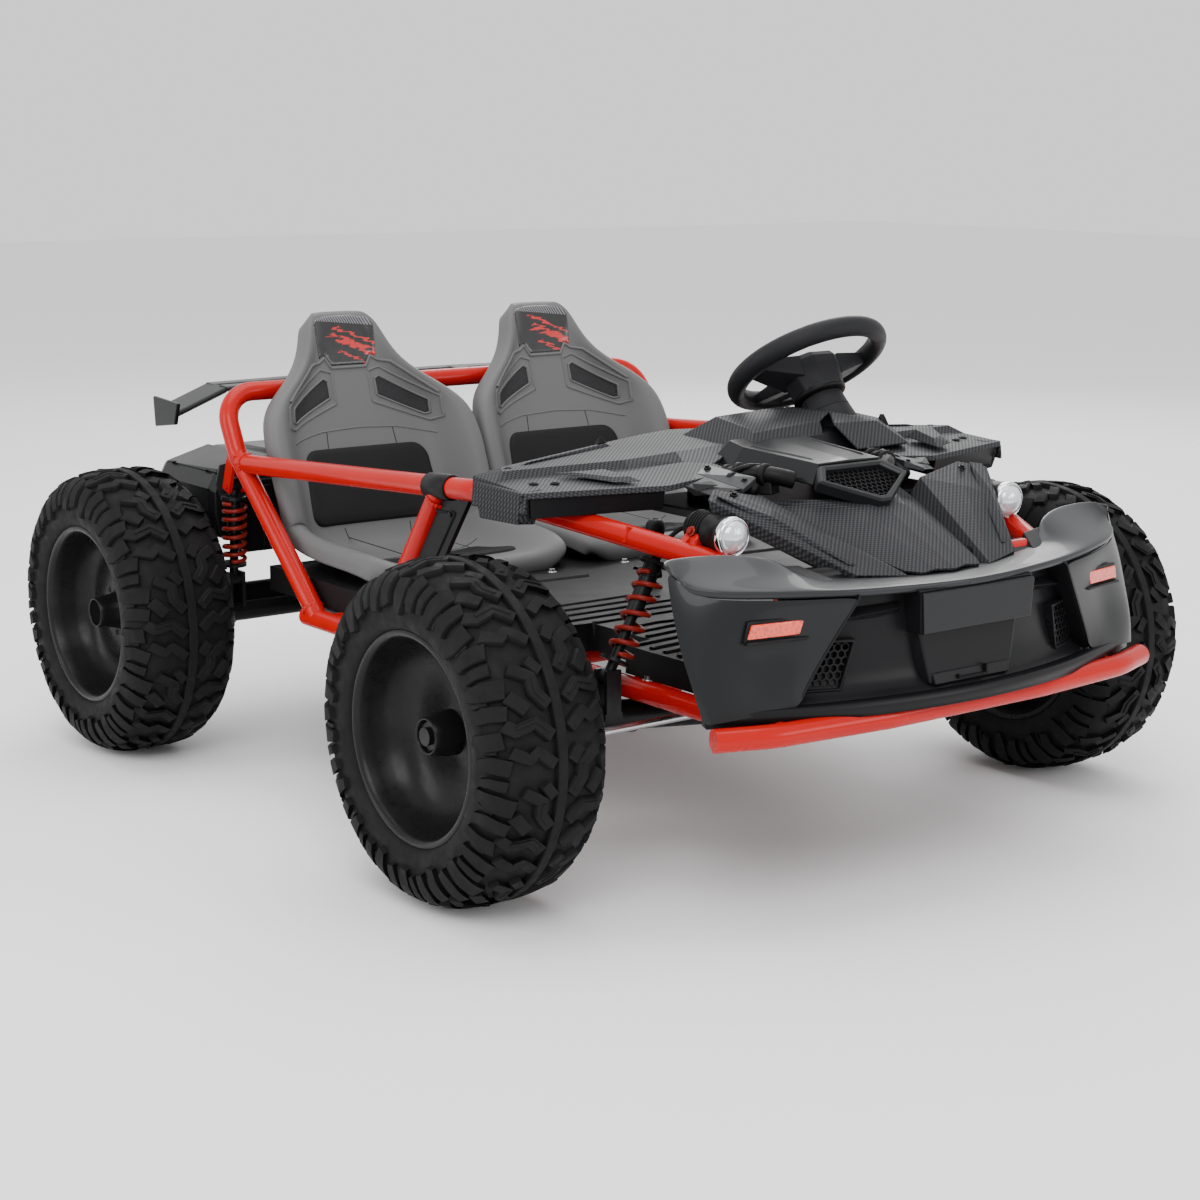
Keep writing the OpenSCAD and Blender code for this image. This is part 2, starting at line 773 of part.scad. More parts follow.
module horn_button() {
    color(RED) from_axle() at_wheel() translate([0, 0, -5]) cylinder(r = 16, h = 9);
}

module steering_shaft() {
    color("silver") from_axle() rod(wheel_centre + column_dir * 20, wheel_centre + column_dir * shaft_end, shaft_r);
}

module steering_rack() {
    color("silver") from_axle() {
        cyl_x(-rack_ear_x - 16, wheel_centre[0] + 52, rack_y, tie_z, rack_r);
        for (x = [-1, 1] * rack_ear_x)
            translate([x - 6, rack_y + rack_r - 2, tie_z - 6]) cube([12, 25, 12]);
    }
}

module tie_rod() {
    stud_y = -steer_arm + stud_shift;
    from_axle() difference() {
        union() {
            cyl_x(rack_ear_x + 9, kingpin_x - 6, stud_y, tie_z, 4.5);
            translate([kingpin_x, stud_y, tie_z - 5]) cylinder(r = steer_stud_r + stud_gap + 5, h = 10);
        }
        translate([kingpin_x, stud_y, tie_z - 6]) cylinder(r = steer_stud_r + stud_gap, h = 12);
    }
}

module tie_rod_left() {
    color("silver") tie_rod();
}

module tie_rod_right() {
    color("silver") right_side() tie_rod();
}

// ---------- front suspension ----------
clevis_low = axle_z - 27.5;
clevis_high = axle_z + 22.5;

module knuckle() {
    from_axle() difference() {
        union() {
            translate([kingpin_x, 0, clevis_low + 0.5]) cylinder(r = 15, h = clevis_high - clevis_low - 1);
            cyl_x(kingpin_x + 4, wheel_x + 46, 0, axle_z, axle_r);
            cyl_x(kingpin_x + 4, wheel_x - 36, 0, axle_z, axle_r + 5);
            translate([wheel_x + 31, 0, axle_z]) rotate([0, 90, 0]) cylinder(r = axle_r + 7, h = 9, $fn = 6);
            translate([kingpin_x - 7, -steer_arm - 7, clevis_low + 0.5]) cube([14, steer_arm, 9]);
            translate([kingpin_x, -steer_arm, clevis_low + 0.5]) cylinder(r = steer_stud_r, h = 24);
        }
        translate([kingpin_x, 0, 0]) cylinder(r = arm_pin_d / 2 + run_gap, h = 900);
    }
}

module knuckle_left() {
    color(BLACK) knuckle();
}

module knuckle_right() {
    color(BLACK) right_side() knuckle();
}

module front_arm() {
    clevis_x = kingpin_x - 25;
    outer = [clevis_x - 6, 0, axle_z - 12];
    from_axle() difference() {
        union() {
            difference() {
                union() {
                    rod(arm_pivot, outer, arm_d / 2 - 3);
                    rod(outer + unit(arm_pivot - outer) * 75, outer, arm_d / 2);
                    cyl_y(arm_pivot[0], -arm_d / 2, arm_d / 2, arm_pivot[2], arm_pin_d / 2 + 7);
                }
                cyl_y(arm_pivot[0], -arm_d, arm_d, arm_pivot[2], arm_pin_d / 2 + run_gap);
            }
            // the clevis that holds the knuckle, and its kingpin
            translate([clevis_x - 8, -17, clevis_low - 8]) cube([9, 34, clevis_high - clevis_low + 16]);
            for (z = [clevis_low - 8, clevis_high])
                translate([clevis_x, -17, z]) cube([25 + 17, 34, 8]);
            translate([kingpin_x, 0, clevis_low - 12]) cylinder(r = arm_pin_d / 2, h = clevis_high - clevis_low + 24);
            // the shock absorber's ears and bolt
            translate([front_eye_low[0] - 12, front_eye_low[1] - 12, axle_z - 2]) cube([24, 60, 8]);
            for (side = [-1, 1])
                translate([front_eye_low[0] - 10, front_eye_low[1] + side * (eye_half_w + 3) - 2.5, axle_z])
                    cube([20, 5, front_eye_low[2] - axle_z + eye_r]);
            cyl_y(front_eye_low[0], front_eye_low[1] - eye_half_w - 3, front_eye_low[1] + eye_half_w + 3,
                front_eye_low[2], eye_bolt_d / 2);
        }
    }
}

module front_arm_left() {
    color(BLACK) front_arm();
}

module front_arm_right() {
    color(BLACK) right_side() front_arm();
}

// ---------- shock absorbers ----------
seat_drop = 20;
seat_lift = 18;
damper_cover = 0.46;

// eye and body, drawn from the top eye down to the low eye
module shock_body(top, low, turn) {
    length = norm(low - top);
    difference() {
        union() {
            aim(top, low) {
                translate([0, 0, eye_r - 3]) cylinder(r = eye_half_w - 0.5, h = seat_drop - eye_r);
                translate([0, 0, seat_drop - 4]) cylinder(r = damper_d / 2, h = length * damper_cover - 10);
                translate([0, 0, seat_drop - 4]) cylinder(r = coil_d / 2, h = 4);
            }
            translate(top) rotate(turn) translate([0, 0, -eye_half_w]) cylinder(r = eye_r, h = 2 * eye_half_w);
        }
        translate(top) rotate(turn) translate([0, 0, -20]) cylinder(r = eye_bolt_d / 2 + run_gap, h = 40);
        aim(top, low) translate([0, 0, seat_drop - 2]) cylinder(r = rod_d / 2 + 1, h = length);
    }
}

module shock_rod(top, low, turn) {
    length = norm(low - top);
    difference() {
        union() {
            aim(low, top) {
                translate([0, 0, eye_r - 3]) cylinder(r = rod_d / 2, h = length - 2 * eye_r - 28);
                translate([0, 0, seat_lift]) cylinder(r = coil_d / 2, h = 4);
            }
            translate(low) rotate(turn) translate([0, 0, -eye_half_w]) cylinder(r = eye_r, h = 2 * eye_half_w);
        }
        translate(low) rotate(turn) translate([0, 0, -20]) cylinder(r = eye_bolt_d / 2 + run_gap, h = 40);
    }
}

coil_sides = 8;
coil_steps = 14;

// a round wire swept along a helix, drawn from the top seat to the low seat
module coil(top, low) {
    wire_r = wire_d / 2;
    radius = coil_d / 2 - wire_r;
    from = seat_drop + wire_r + 0.3;
    to = norm(low - top) - seat_lift - 4 - wire_r - 0.3;
    rings = coil_turns * coil_steps;
    pitch = atan2(to - from, coil_turns * 360 * PI / 180 * radius);
    function ring(i) = let (a = 360 * i / coil_steps)
        [for (j = [0:coil_sides - 1]) let (b = 360 * j / coil_sides, out = wire_r * cos(b), up = wire_r * sin(b))
            [(radius + out) * cos(a) + up * sin(pitch) * sin(a),
             (radius + out) * sin(a) - up * sin(pitch) * cos(a),
             from + (to - from) * i / rings + up * cos(pitch)]];
    points = [for (i = [0:rings]) each ring(i)];
    function corner(i, j) = i * coil_sides + (j % coil_sides);
    walls = [for (i = [0:rings - 1], j = [0:coil_sides - 1]) each [
        [corner(i, j), corner(i + 1, j), corner(i + 1, j + 1)],
        [corner(i, j), corner(i + 1, j + 1), corner(i, j + 1)]
    ]];
    ends = [[for (j = [0:coil_sides - 1]) j],
        [for (j = [coil_sides - 1:-1:0]) rings * coil_sides + j]];
    aim(top, low) polyhedron(points, concat(walls, ends));
}

turn_y = [90, 0, 0];
turn_x = [0, 90, 0];

module front_shock_body_left() {
    color(BLACK) from_axle() shock_body(front_eye_top, front_eye_low, turn_y);
}

module front_shock_body_right() {
    color(BLACK) right_side() from_axle() shock_body(front_eye_top, front_eye_low, turn_y);
}

module front_shock_rod_left() {
    color(BLACK) from_axle() shock_rod(front_eye_top, front_eye_low, turn_y);
}

module front_shock_rod_right() {
    color(BLACK) right_side() from_axle() shock_rod(front_eye_top, front_eye_low, turn_y);
}

module front_spring_left() {
    color(RED) from_axle() coil(front_eye_top, front_eye_low);
}

module front_spring_right() {
    color(RED) right_side() from_axle() coil(front_eye_top, front_eye_low);
}

module rear_shock_bodies() {
    color(BLACK) from_axle() both_sides() shock_body(rear_eye_top, rear_eye_low, turn_x);
}

module rear_shock_rods() {
    color(BLACK) from_axle() both_sides() shock_rod(rear_eye_top, rear_eye_low, turn_x);
}

module rear_springs() {
    color(RED) from_axle() both_sides() coil(rear_eye_top, rear_eye_low);
}

// ---------- rear swing arm and drive ----------
gearbox_x0 = tyre_inner_x - 54;
gearbox_x1 = tyre_inner_x - 4;
motor_r = 26;
motor_gap = 2.3;
motor_y = rear_eye_low[1] + tube_r + motor_r + 4 + motor_gap;

module rear_swing_arm() {
    color(BLACK) from_axle() difference() {
        union() {
            both_sides() {
                rod([swing_x, swing_pivot[1], swing_pivot[2]], [swing_x, wheelbase, axle_z], tube_r);
                cyl_x(swing_x - 18, swing_x + 18, swing_pivot[1], swing_pivot[2], swing_pin_r + 7);
                rod([swing_x, rear_eye_low[1], axle_z - 3], [frame_x + 14, rear_eye_low[1], axle_z - 3], tube_r);
                for (side = [-1, 1])
                    translate([frame_x + side * (eye_half_w + 3) - 2.5, rear_eye_low[1] - 10, axle_z])
                        cube([5, 20, rear_eye_low[2] - axle_z + eye_r]);
                cyl_x(frame_x - eye_half_w - 3, frame_x + eye_half_w + 3, rear_eye_low[1], rear_eye_low[2],
                    eye_bolt_d / 2);
            }
            cyl_x(-swing_x - tube_r, swing_x + tube_r, wheelbase, axle_z, tube_r + 5);
            cyl_x(-swing_x, swing_x, wheelbase - 170, axle_z - 12, tube_r);
        }
        cyl_x(-500, 500, wheelbase, axle_z, axle_r);
        cyl_x(-500, 500, swing_pivot[1], swing_pivot[2], swing_pin_r + run_gap);
    }
}

module rear_axle() {
    color("silver") from_axle() {
        cyl_x(-wheel_x - 46, wheel_x + 46, wheelbase, axle_z, axle_r);
        both_sides() translate([wheel_x + 31, wheelbase, axle_z]) rotate([0, 90, 0])
            cylinder(r = axle_r + 7, h = 9, $fn = 6);
    }
}

// each rear wheel has a gearbox with its own motor
module drive_units() {
    color(BLACK) from_axle() both_sides() difference() {
        union() {
            cyl_x(swing_x + tube_r + 6, gearbox_x0 + 1, motor_y, axle_z, motor_r);
            cyl_x(gearbox_x0, gearbox_x1, wheelbase, axle_z, 44);
            cyl_x(gearbox_x0, gearbox_x1, motor_y, axle_z, motor_r + 4);
            translate([gearbox_x0, motor_y, axle_z - 30]) cube([gearbox_x1 - gearbox_x0, 52, 60]);
        }
        cyl_x(0, 900, wheelbase, axle_z, axle_r);
    }
}

// ---------- wheels ----------
hub_r = axle_r + 18;

module tyre() {
    half = tyre_w / 2;
    shoulder = 26;
    rotate([0, 90, 0]) rotate_extrude($fn = 96) polygon(concat(
        [[rim_r, -half + 3], [rim_r, half - 3], [rim_r + 12, half]],
        [for (a = [0:15:90]) [tyre_r - shoulder + shoulder * sin(a) - (a == 90 ? 0 : 2),
            half - shoulder + shoulder * cos(a)]],
        [for (a = [90:-15:0]) [tyre_r - shoulder + shoulder * sin(a) - (a == 90 ? 0 : 2),
            -half + shoulder - shoulder * cos(a)]],
        [[rim_r + 12, -half]]
    ));
}

// dish is how far the disc is set in from the middle, towards the vehicle
module rim(dish) {
    half = tyre_w / 2 - 3;
    rotate([0, 90, 0]) rotate_extrude($fn = 96) polygon([
        [axle_r + run_gap, -35], [hub_r, -35], [hub_r, -dish - 4], [rim_r * 0.62, -dish - 6],
        [rim_r - 12, -half * 0.55], [rim_r - 8, -half], [rim_r, -half], [rim_r, half],
        [rim_r - 5, half], [rim_r - 8, half * 0.2], [rim_r * 0.68, -dish + 2], [hub_r, -dish + 6],
        [hub_r, 30], [axle_r + run_gap, 30]
    ]);
}

module at_wheel_place(side, y) {
    from_axle() translate([side * wheel_x, y, axle_z]) rotate([0, 0, side > 0 ? 0 : 180]) children();
}

module tyre_front_left() {
    color(BLACK) at_wheel_place(1, 0) tyre();
}

module tyre_front_right() {
    color(BLACK) at_wheel_place(-1, 0) tyre();
}

module tyre_rear_left() {
    color(BLACK) at_wheel_place(1, wheelbase) tyre();
}

module tyre_rear_right() {
    color(BLACK) at_wheel_place(-1, wheelbase) tyre();
}

module rim_front_left() {
    color(BLACK) at_wheel_place(1, 0) rim(14);
}

module rim_front_right() {
    color(BLACK) at_wheel_place(-1, 0) rim(14);
}

module rim_rear_left() {
    color(BLACK) at_wheel_place(1, wheelbase) rim(8);
}

module rim_rear_right() {
    color(BLACK) at_wheel_place(-1, wheelbase) rim(8);
}

// ---------- controls ----------
pedal_x = 110;
pedal_y = -108;

module pedal() {
    color(BLACK) from_axle() {
        translate([pedal_x, pedal_y, floor_top + 9]) rotate([-42, 0, 0])
            translate([-27, -100, -4]) cube([54, 100, 8]);
        cyl_x(pedal_x - 27, pedal_x + 27, pedal_y, floor_top + 9, 7);
    }
}

lever_y = 245;

module shift_lever() {
    color(BLACK) from_axle() {
        rod([0, lever_y, floor_top + 9], [0, lever_y - 8, floor_top + 60], 5);
        translate([0, lever_y - 8, floor_top + 66]) sphere(r = 13);
        cyl_x(-12, 12, lever_y, floor_top + 9, 8);
    }
}

side_rail_left();
side_rail_right();
rear_hoop();
lower_rails();
door_tubes();
cross_tubes();
bumper_bar();
frame_brackets();
pivot_bolts();
floor_pan();
seat_left();
seat_right();
seat_pads();
dash_beam();
hood();
engine_cover();
intake_scoop();
column_shroud();
steering_gearbox();
bumper_shell();
bumper_insert();
marker_lights();
headlights();
headlight_lenses();
side_panels();
rear_body();
battery_pack();
spoiler();
steering_wheel();
steering_shaft();
horn_button();
knuckle_left();
knuckle_right();
front_arm_left();
front_arm_right();
tie_rod_left();
tie_rod_right();
steering_rack();
rear_swing_arm();
rear_axle();
drive_units();
front_shock_body_left();
front_shock_body_right();
front_shock_rod_left();
front_shock_rod_right();
front_spring_left();
front_spring_right();
rear_shock_bodies();
rear_shock_rods();
rear_springs();
tyre_front_left();
tyre_front_right();
tyre_rear_left();
tyre_rear_right();
rim_front_left();
rim_front_right();
rim_rear_left();
rim_rear_right();
pedal();
shift_lever();
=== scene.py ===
"""Two-seat electric kart chassis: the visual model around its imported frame."""
import math

import bmesh
import bpy
from mathutils import Matrix, Vector
from mathutils.bvhtree import BVHTree
from mathutils.geometry import delaunay_2d_cdt


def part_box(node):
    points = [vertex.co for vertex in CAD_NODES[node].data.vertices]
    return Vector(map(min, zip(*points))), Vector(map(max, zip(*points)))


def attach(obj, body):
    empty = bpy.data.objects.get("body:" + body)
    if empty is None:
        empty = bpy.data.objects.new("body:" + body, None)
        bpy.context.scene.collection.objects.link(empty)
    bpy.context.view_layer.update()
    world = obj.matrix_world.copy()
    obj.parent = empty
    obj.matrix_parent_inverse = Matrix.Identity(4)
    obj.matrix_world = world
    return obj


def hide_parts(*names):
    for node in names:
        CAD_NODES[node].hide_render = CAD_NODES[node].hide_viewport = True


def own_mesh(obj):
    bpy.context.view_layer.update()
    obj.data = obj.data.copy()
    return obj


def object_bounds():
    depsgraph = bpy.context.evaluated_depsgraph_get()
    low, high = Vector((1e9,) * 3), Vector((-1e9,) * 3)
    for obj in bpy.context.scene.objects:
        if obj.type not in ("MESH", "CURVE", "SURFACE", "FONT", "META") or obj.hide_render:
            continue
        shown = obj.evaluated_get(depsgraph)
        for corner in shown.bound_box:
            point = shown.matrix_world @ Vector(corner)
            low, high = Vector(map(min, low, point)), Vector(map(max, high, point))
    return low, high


bl_info = {
    "name": "Kart Chassis",
    "version": (1, 0, 0),
    "blender": (4, 5, 0),
    "location": "3D View > Sidebar > Kart",
    "description": "Builds the detailed pieces of a two-seat kart chassis around its frame",
    "category": "Object",
}

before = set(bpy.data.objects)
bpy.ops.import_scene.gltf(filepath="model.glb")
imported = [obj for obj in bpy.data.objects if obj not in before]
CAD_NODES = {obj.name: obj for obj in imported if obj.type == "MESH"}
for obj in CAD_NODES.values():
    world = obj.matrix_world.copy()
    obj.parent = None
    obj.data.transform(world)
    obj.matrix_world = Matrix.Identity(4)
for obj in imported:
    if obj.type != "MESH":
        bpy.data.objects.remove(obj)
CAD_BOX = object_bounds()
MM = 0.001


def middle(node):
    low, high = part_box(node)
    return (low + high) / 2


AXLE = middle("tyre_front_left")
REAR_AXLE = middle("tyre_rear_left")
FRONT_Y = AXLE.y
WHEELBASE = (REAR_AXLE.y - AXLE.y) / MM
TYRE_R = (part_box("tyre_front_left")[1].z - AXLE.z) / MM
TYRE_W = (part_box("tyre_front_left")[1].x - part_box("tyre_front_left")[0].x) / MM


def at(x, y, z):
    """A point in millimetres from the front axle's middle on the floor, in the row frame in metres."""
    return Vector((x * MM, y * MM + FRONT_Y, z * MM))


# ---------- mesh tools ----------
def link(name, mesh):
    obj = bpy.data.objects.new(name, mesh)
    bpy.context.scene.collection.objects.link(obj)
    return obj


def mesh_piece(name, points, faces, smooth=True):
    """A new object from points in metres; faces are lists of point numbers."""
    mesh = bpy.data.meshes.new(name)
    mesh.from_pydata([tuple(p) for p in points], [], [tuple(f) for f in faces])
    mesh.validate()
    bm = bmesh.new()
    bm.from_mesh(mesh)
    bmesh.ops.recalc_face_normals(bm, faces=bm.faces)
    bm.to_mesh(mesh)
    bm.free()
    mesh.polygons.foreach_set("use_smooth", [smooth] * len(mesh.polygons))
    return link(name, mesh)


def apply_all(obj):
    """Applies the object's modifiers to its mesh."""
    bpy.context.view_layer.update()
    graph = bpy.context.evaluated_depsgraph_get()
    mesh = bpy.data.meshes.new_from_object(obj.evaluated_get(graph))
    obj.modifiers.clear()
    obj.data = mesh
    return obj


def bevelled(obj, width, segments=2, angle=30):
    """Rounds the sharp edges, width in millimetres."""
    bevel = obj.modifiers.new("bevel", "BEVEL")
    bevel.width = width * MM
    bevel.segments = segments
    bevel.limit_method = "ANGLE"
    bevel.angle_limit = math.radians(angle)
    bevel.harden_normals = True
    return apply_all(obj)


def subdivided(obj, levels=2):
    sub = obj.modifiers.new("sub", "SUBSURF")
    sub.levels = levels
    sub.render_levels = levels
    return apply_all(obj)


def thickened(obj, wall, offset=-1.0):
    solid = obj.modifiers.new("wall", "SOLIDIFY")
    solid.thickness = wall * MM
    solid.offset = offset
    solid.use_even_offset = True
    return apply_all(obj)


def joined(name, objects):
    """Joins several objects into one piece, keeping their materials."""
    bpy.ops.object.select_all(action="DESELECT")
    for obj in objects:
        obj.select_set(True)
    bpy.context.view_layer.objects.active = objects[0]
    bpy.ops.object.join()
    whole = bpy.context.view_layer.objects.active
    whole.name = name
    whole.data.name = name
    return whole


def flip_side(obj):
    """Turns a piece into its own mirror image across the middle plane."""
    obj.data.transform(Matrix.Scale(-1, 4, (1, 0, 0)))
    obj.data.flip_normals()
    return obj


def quads(rows, cols, loop_rows=False, loop_cols=False, first=0):
    """Faces between points that are numbered row by row, from the point called first."""
    faces = []
    for i in range(rows if loop_rows else rows - 1):
        here, above = first + i * cols, first + (i + 1) % rows * cols
        for k in range(cols if loop_cols else cols - 1):
            m = (k + 1) % cols
            faces.append((here + k, here + m, above + m, above + k))
    return faces


def lathe(name, profile, centre, axis, steps=64, closed=True):
    """Turns (along, radius) points in millimetres about an axis through a point in metres."""
    axis = Vector(axis).normalized()
    side = axis.orthogonal().normalized()
    up = axis.cross(side)
    points = []
    for i in range(steps):
        turn = 2 * math.pi * i / steps
        out = side * math.cos(turn) + up * math.sin(turn)
        points += [centre + axis * (a * MM) + out * (r * MM) for a, r in profile]
    return mesh_piece(name, points, quads(steps, len(profile), True, closed))


def rounded_rect(half_w, half_h, radius, steps=4):
    """Outline of a rectangle with round corners."""
    out = []
    for cx, cy, start in ((1, 1, 0), (-1, 1, 90), (-1, -1, 180), (1, -1, 270)):
        for i in range(steps + 1):
            a = math.radians(start + 90 * i / steps)
            out.append((cx * (half_w - radius) + radius * math.cos(a),
                        cy * (half_h - radius) + radius * math.sin(a)))
    return out


def circle(radius, steps=16):
    turns = [2 * math.pi * i / steps for i in range(steps)]
    return [(radius * math.cos(turn), radius * math.sin(turn)) for turn in turns]


def sweep(name, path, section, up=(0, 0, 1), loop=False, scale=None):
    """Sweeps a closed section (millimetres) along a path of points in metres."""
    path = [Vector(p) for p in path]
    n, m = len(path), len(section)
    points = []
    up = Vector(up)
    for i, p in enumerate(path):
        before = path[(i - 1) % n] if (loop or i) else path[i]
        after = path[(i + 1) % n] if (loop or i < n - 1) else path[i]
        along = (after - before).normalized()
        side = along.cross(up)
        side = side.normalized() if side.length > 1e-6 else along.orthogonal().normalized()
        top = side.cross(along)
        k = scale[i] if scale else 1.0
        points += [p + side * (u * MM * k) + top * (v * MM * k) for u, v in section]
    faces = quads(n, m, loop, True)
    if not loop:
        faces.append(tuple(range(m - 1, -1, -1)))
        faces.append(tuple((n - 1) * m + k for k in range(m)))
    return mesh_piece(name, points, faces)


def prism(name, outline, depth, matrix, bevel=0.0, segments=2):
    """A plate from a flat outline in millimetres, standing up by depth along the matrix's Z."""
    n = len(outline)
    points = [matrix @ Vector((x * MM, y * MM, 0)) for x, y in outline]
    points += [matrix @ Vector((x * MM, y * MM, depth * MM)) for x, y in outline]
    faces = [tuple(range(n - 1, -1, -1)), tuple(range(n, 2 * n))]
    faces += [(i, (i + 1) % n, n + (i + 1) % n, n + i) for i in range(n)]
    obj = mesh_piece(name, points, faces, False)
    if bevel:
        bevelled(obj, bevel, segments)
    return obj


def frame_of(origin, x_axis, y_axis):
    """A placing matrix with its X and Y along the given directions."""
    x = Vector(x_axis).normalized()
    z = x.cross(Vector(y_axis)).normalized()
    y = z.cross(x)
    rot = Matrix((x, y, z)).transposed().to_4x4()
    return Matrix.Translation(origin) @ rot


def hull_piece(name, points, bevel=0.0, segments=2):
    """The convex hull of points in metres, with rounded edges."""
    bm = bmesh.new()
    for p in points:
        bm.verts.new(p)
    bmesh.ops.convex_hull(bm, input=bm.verts)
    loose = [v for v in bm.verts if not v.link_faces]
    bmesh.ops.delete(bm, geom=loose, context="VERTS")
    bmesh.ops.dissolve_limit(bm, angle_limit=math.radians(1.5), verts=bm.verts, edges=bm.edges)
    mesh = bpy.data.meshes.new(name)
    bm.to_mesh(mesh)
    bm.free()
    obj = link(name, mesh)
    if bevel:
        bevelled(obj, bevel, segments)
    return obj


def spline(points, per_span=8):
    """A smooth curve through the given points."""
    pts = [Vector(p) for p in points]
    out = []
    for i in range(len(pts) - 1):
        p0, p1 = pts[max(i - 1, 0)], pts[i]
        p2, p3 = pts[i + 1], pts[min(i + 2, len(pts) - 1)]
        for k in range(per_span):
            t = k / per_span
            out.append(0.5 * (
                (2 * p1) + (p2 - p0) * t + (2 * p0 - 5 * p1 + 4 * p2 - p3) * t * t
                + (3 * p1 - p0 - 3 * p2 + p3) * t ** 3))
    out.append(pts[-1])
    return out


def finish_piece(obj, body, slot, *replaces):
    """Puts a piece on the body it rides on and hides the frame nodes that it stands for; slot is not used."""
    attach(obj, body)
    if replaces:
        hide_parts(*replaces)
    return obj


def paint(obj, finish):
    """Gives a piece or a frame node one finish: a material, or the name of one in FINISHES."""
    material = finish if isinstance(finish, bpy.types.Material) else FINISHES[finish]
    obj.data.materials.clear()
    obj.data.materials.append(material)
    return obj


# ---------- finishes ----------
class Finish:
    """A principled material that is built up from its object's own coordinates."""

    def __init__(self, name, color, roughness, metallic=0.0, coat=0.0, specular=0.5, **sockets):
        self.mat = bpy.data.materials.new(name)
        self.mat.use_nodes = True
        self.tree = self.mat.node_tree
        self.bsdf = self.tree.nodes["Principled BSDF"]
        self.color = (*color[:3], 1.0)
        self.put("Base Color", self.color)
        self.put("Roughness", roughness)
        self.put("Metallic", metallic)
        self.put("Coat Weight", coat)
        self.put("Specular IOR Level", specular)
        for key, value in sockets.items():
            self.put(key.replace("_", " "), value)
        self.coord = self.node("ShaderNodeTexCoord").outputs["Object"]
        self.last_bump = None

    def node(self, kind, **settings):
        made = self.tree.nodes.new(kind)
        for key, value in settings.items():
            setattr(made, key, value)
        return made

    def put(self, socket, value):
        self.bsdf.inputs[socket].default_value = value

    def wire(self, source, socket):
        self.tree.links.new(source, socket)

    def stretched(self, scale, turn=(0, 0, 0)):
        mapping = self.node("ShaderNodeMapping")
        mapping.inputs["Scale"].default_value = scale
        mapping.inputs["Rotation"].default_value = turn
        self.wire(self.coord, mapping.inputs["Vector"])
        return mapping.outputs["Vector"]

    def noise(self, scale, detail=4.0, roughness=0.55, vector=None):
        tex = self.node("ShaderNodeTexNoise")
        tex.inputs["Scale"].default_value = scale
        tex.inputs["Detail"].default_value = detail
        tex.inputs["Roughness"].default_value = roughness
        self.wire(vector or self.coord, tex.inputs["Vector"])
        return tex.outputs["Fac"]

    def cells(self, scale, feature="F1", vector=None):
        tex = self.node("ShaderNodeTexVoronoi", feature=feature)
        tex.inputs["Scale"].default_value = scale
        self.wire(vector or self.coord, tex.inputs["Vector"])
        return tex.outputs["Distance"]

    def math(self, operation, a, b=None):
        made = self.node("ShaderNodeMath", operation=operation)
        for slot, value in ((0, a), (1, b)):
            if value is None:
                continue
            if isinstance(value, (int, float)):
                made.inputs[slot].default_value = value
            else:
                self.wire(value, made.inputs[slot])
        return made.outputs[0]

    def ramp(self, source, low, high, to_low=0.0, to_high=1.0):
        made = self.node("ShaderNodeMapRange")
        for key, value in (("From Min", low), ("From Max", high), ("To Min", to_low), ("To Max", to_high)):
            made.inputs[key].default_value = value
        self.wire(source, made.inputs["Value"])
        return made.outputs["Result"]

    def blend(self, factor, first, second):
        made = self.node("ShaderNodeMix", data_type="RGBA")
        self.wire(factor, made.inputs["Factor"])
        for slot, value in ((6, first), (7, second)):
            if isinstance(value, (tuple, list)):
                made.inputs[slot].default_value = (*value[:3], 1.0)
            else:
                self.wire(value, made.inputs[slot])
        return made.outputs[2]

    def vary_color(self, factor, first, second):
        self.wire(self.blend(factor, first, second), self.bsdf.inputs["Base Color"])
        return self

    def vary_rough(self, factor, low, high):
        self.wire(self.ramp(factor, 0.3, 0.7, low, high), self.bsdf.inputs["Roughness"])
        return self

    def bump(self, height, strength, distance):
        made = self.node("ShaderNodeBump")
        made.inputs["Strength"].default_value = strength
        made.inputs["Distance"].default_value = distance
        self.wire(height, made.inputs["Height"])
        if self.last_bump:
            self.wire(self.last_bump, made.inputs["Normal"])
        self.last_bump = made.outputs["Normal"]
        self.wire(self.last_bump, self.bsdf.inputs["Normal"])
        return self


def shade(color, factor):
    return tuple(min(1.0, c * factor) for c in color[:3])


def painted(name, color, gloss):
    """Gloss paint over metal, with faint orange peel and dust."""
    f = Finish(name, color, gloss, coat=0.10, specular=0.16, Coat_Roughness=0.08)
    f.vary_color(f.noise(14, 5), shade(color, 0.86), shade(color, 1.08))
    f.vary_rough(f.noise(60, 6), gloss * 0.75, gloss * 1.45)
    f.bump(f.noise(420, 2), 0.05, 0.0006)
    return f.mat


def powder(name, color, rough):
    """Satin powder coat with a fine pebbled skin."""
    f = Finish(name, color, rough, specular=0.18)
    f.vary_color(f.noise(30, 6), shade(color, 0.75), shade(color, 1.35))
    f.vary_rough(f.noise(90, 5), rough * 0.8, rough * 1.25)
    f.bump(f.cells(900), 0.10, 0.0004)
    return f.mat


def moulded(name, color, rough, grain=700, depth=0.18, coat=0.0, specular=0.14):
    """Injection-moulded plastic with a grained skin and slight cloudiness."""
    f = Finish(name, color, rough, specular=specular, coat=coat)
    f.vary_color(f.noise(6, 5, 0.6), shade(color, 0.93), shade(color, 1.07))
    f.vary_rough(f.noise(24, 3), rough * 0.94, rough * 1.06)
    f.bump(f.cells(grain), depth, 0.0004)
    f.bump(f.noise(5, 2), 0.03, 0.002)
    return f.mat


def rubber(name, color):
    f = Finish(name, color, 0.66, specular=0.10)
    f.vary_color(f.noise(26, 8, 0.65), shade(color, 0.7), shade(color, 1.5))
    f.vary_rough(f.noise(70, 6), 0.5, 0.78)
    f.bump(f.noise(650, 4), 0.22, 0.0006)
    f.bump(f.cells(160), 0.08, 0.0006)
    return f.mat


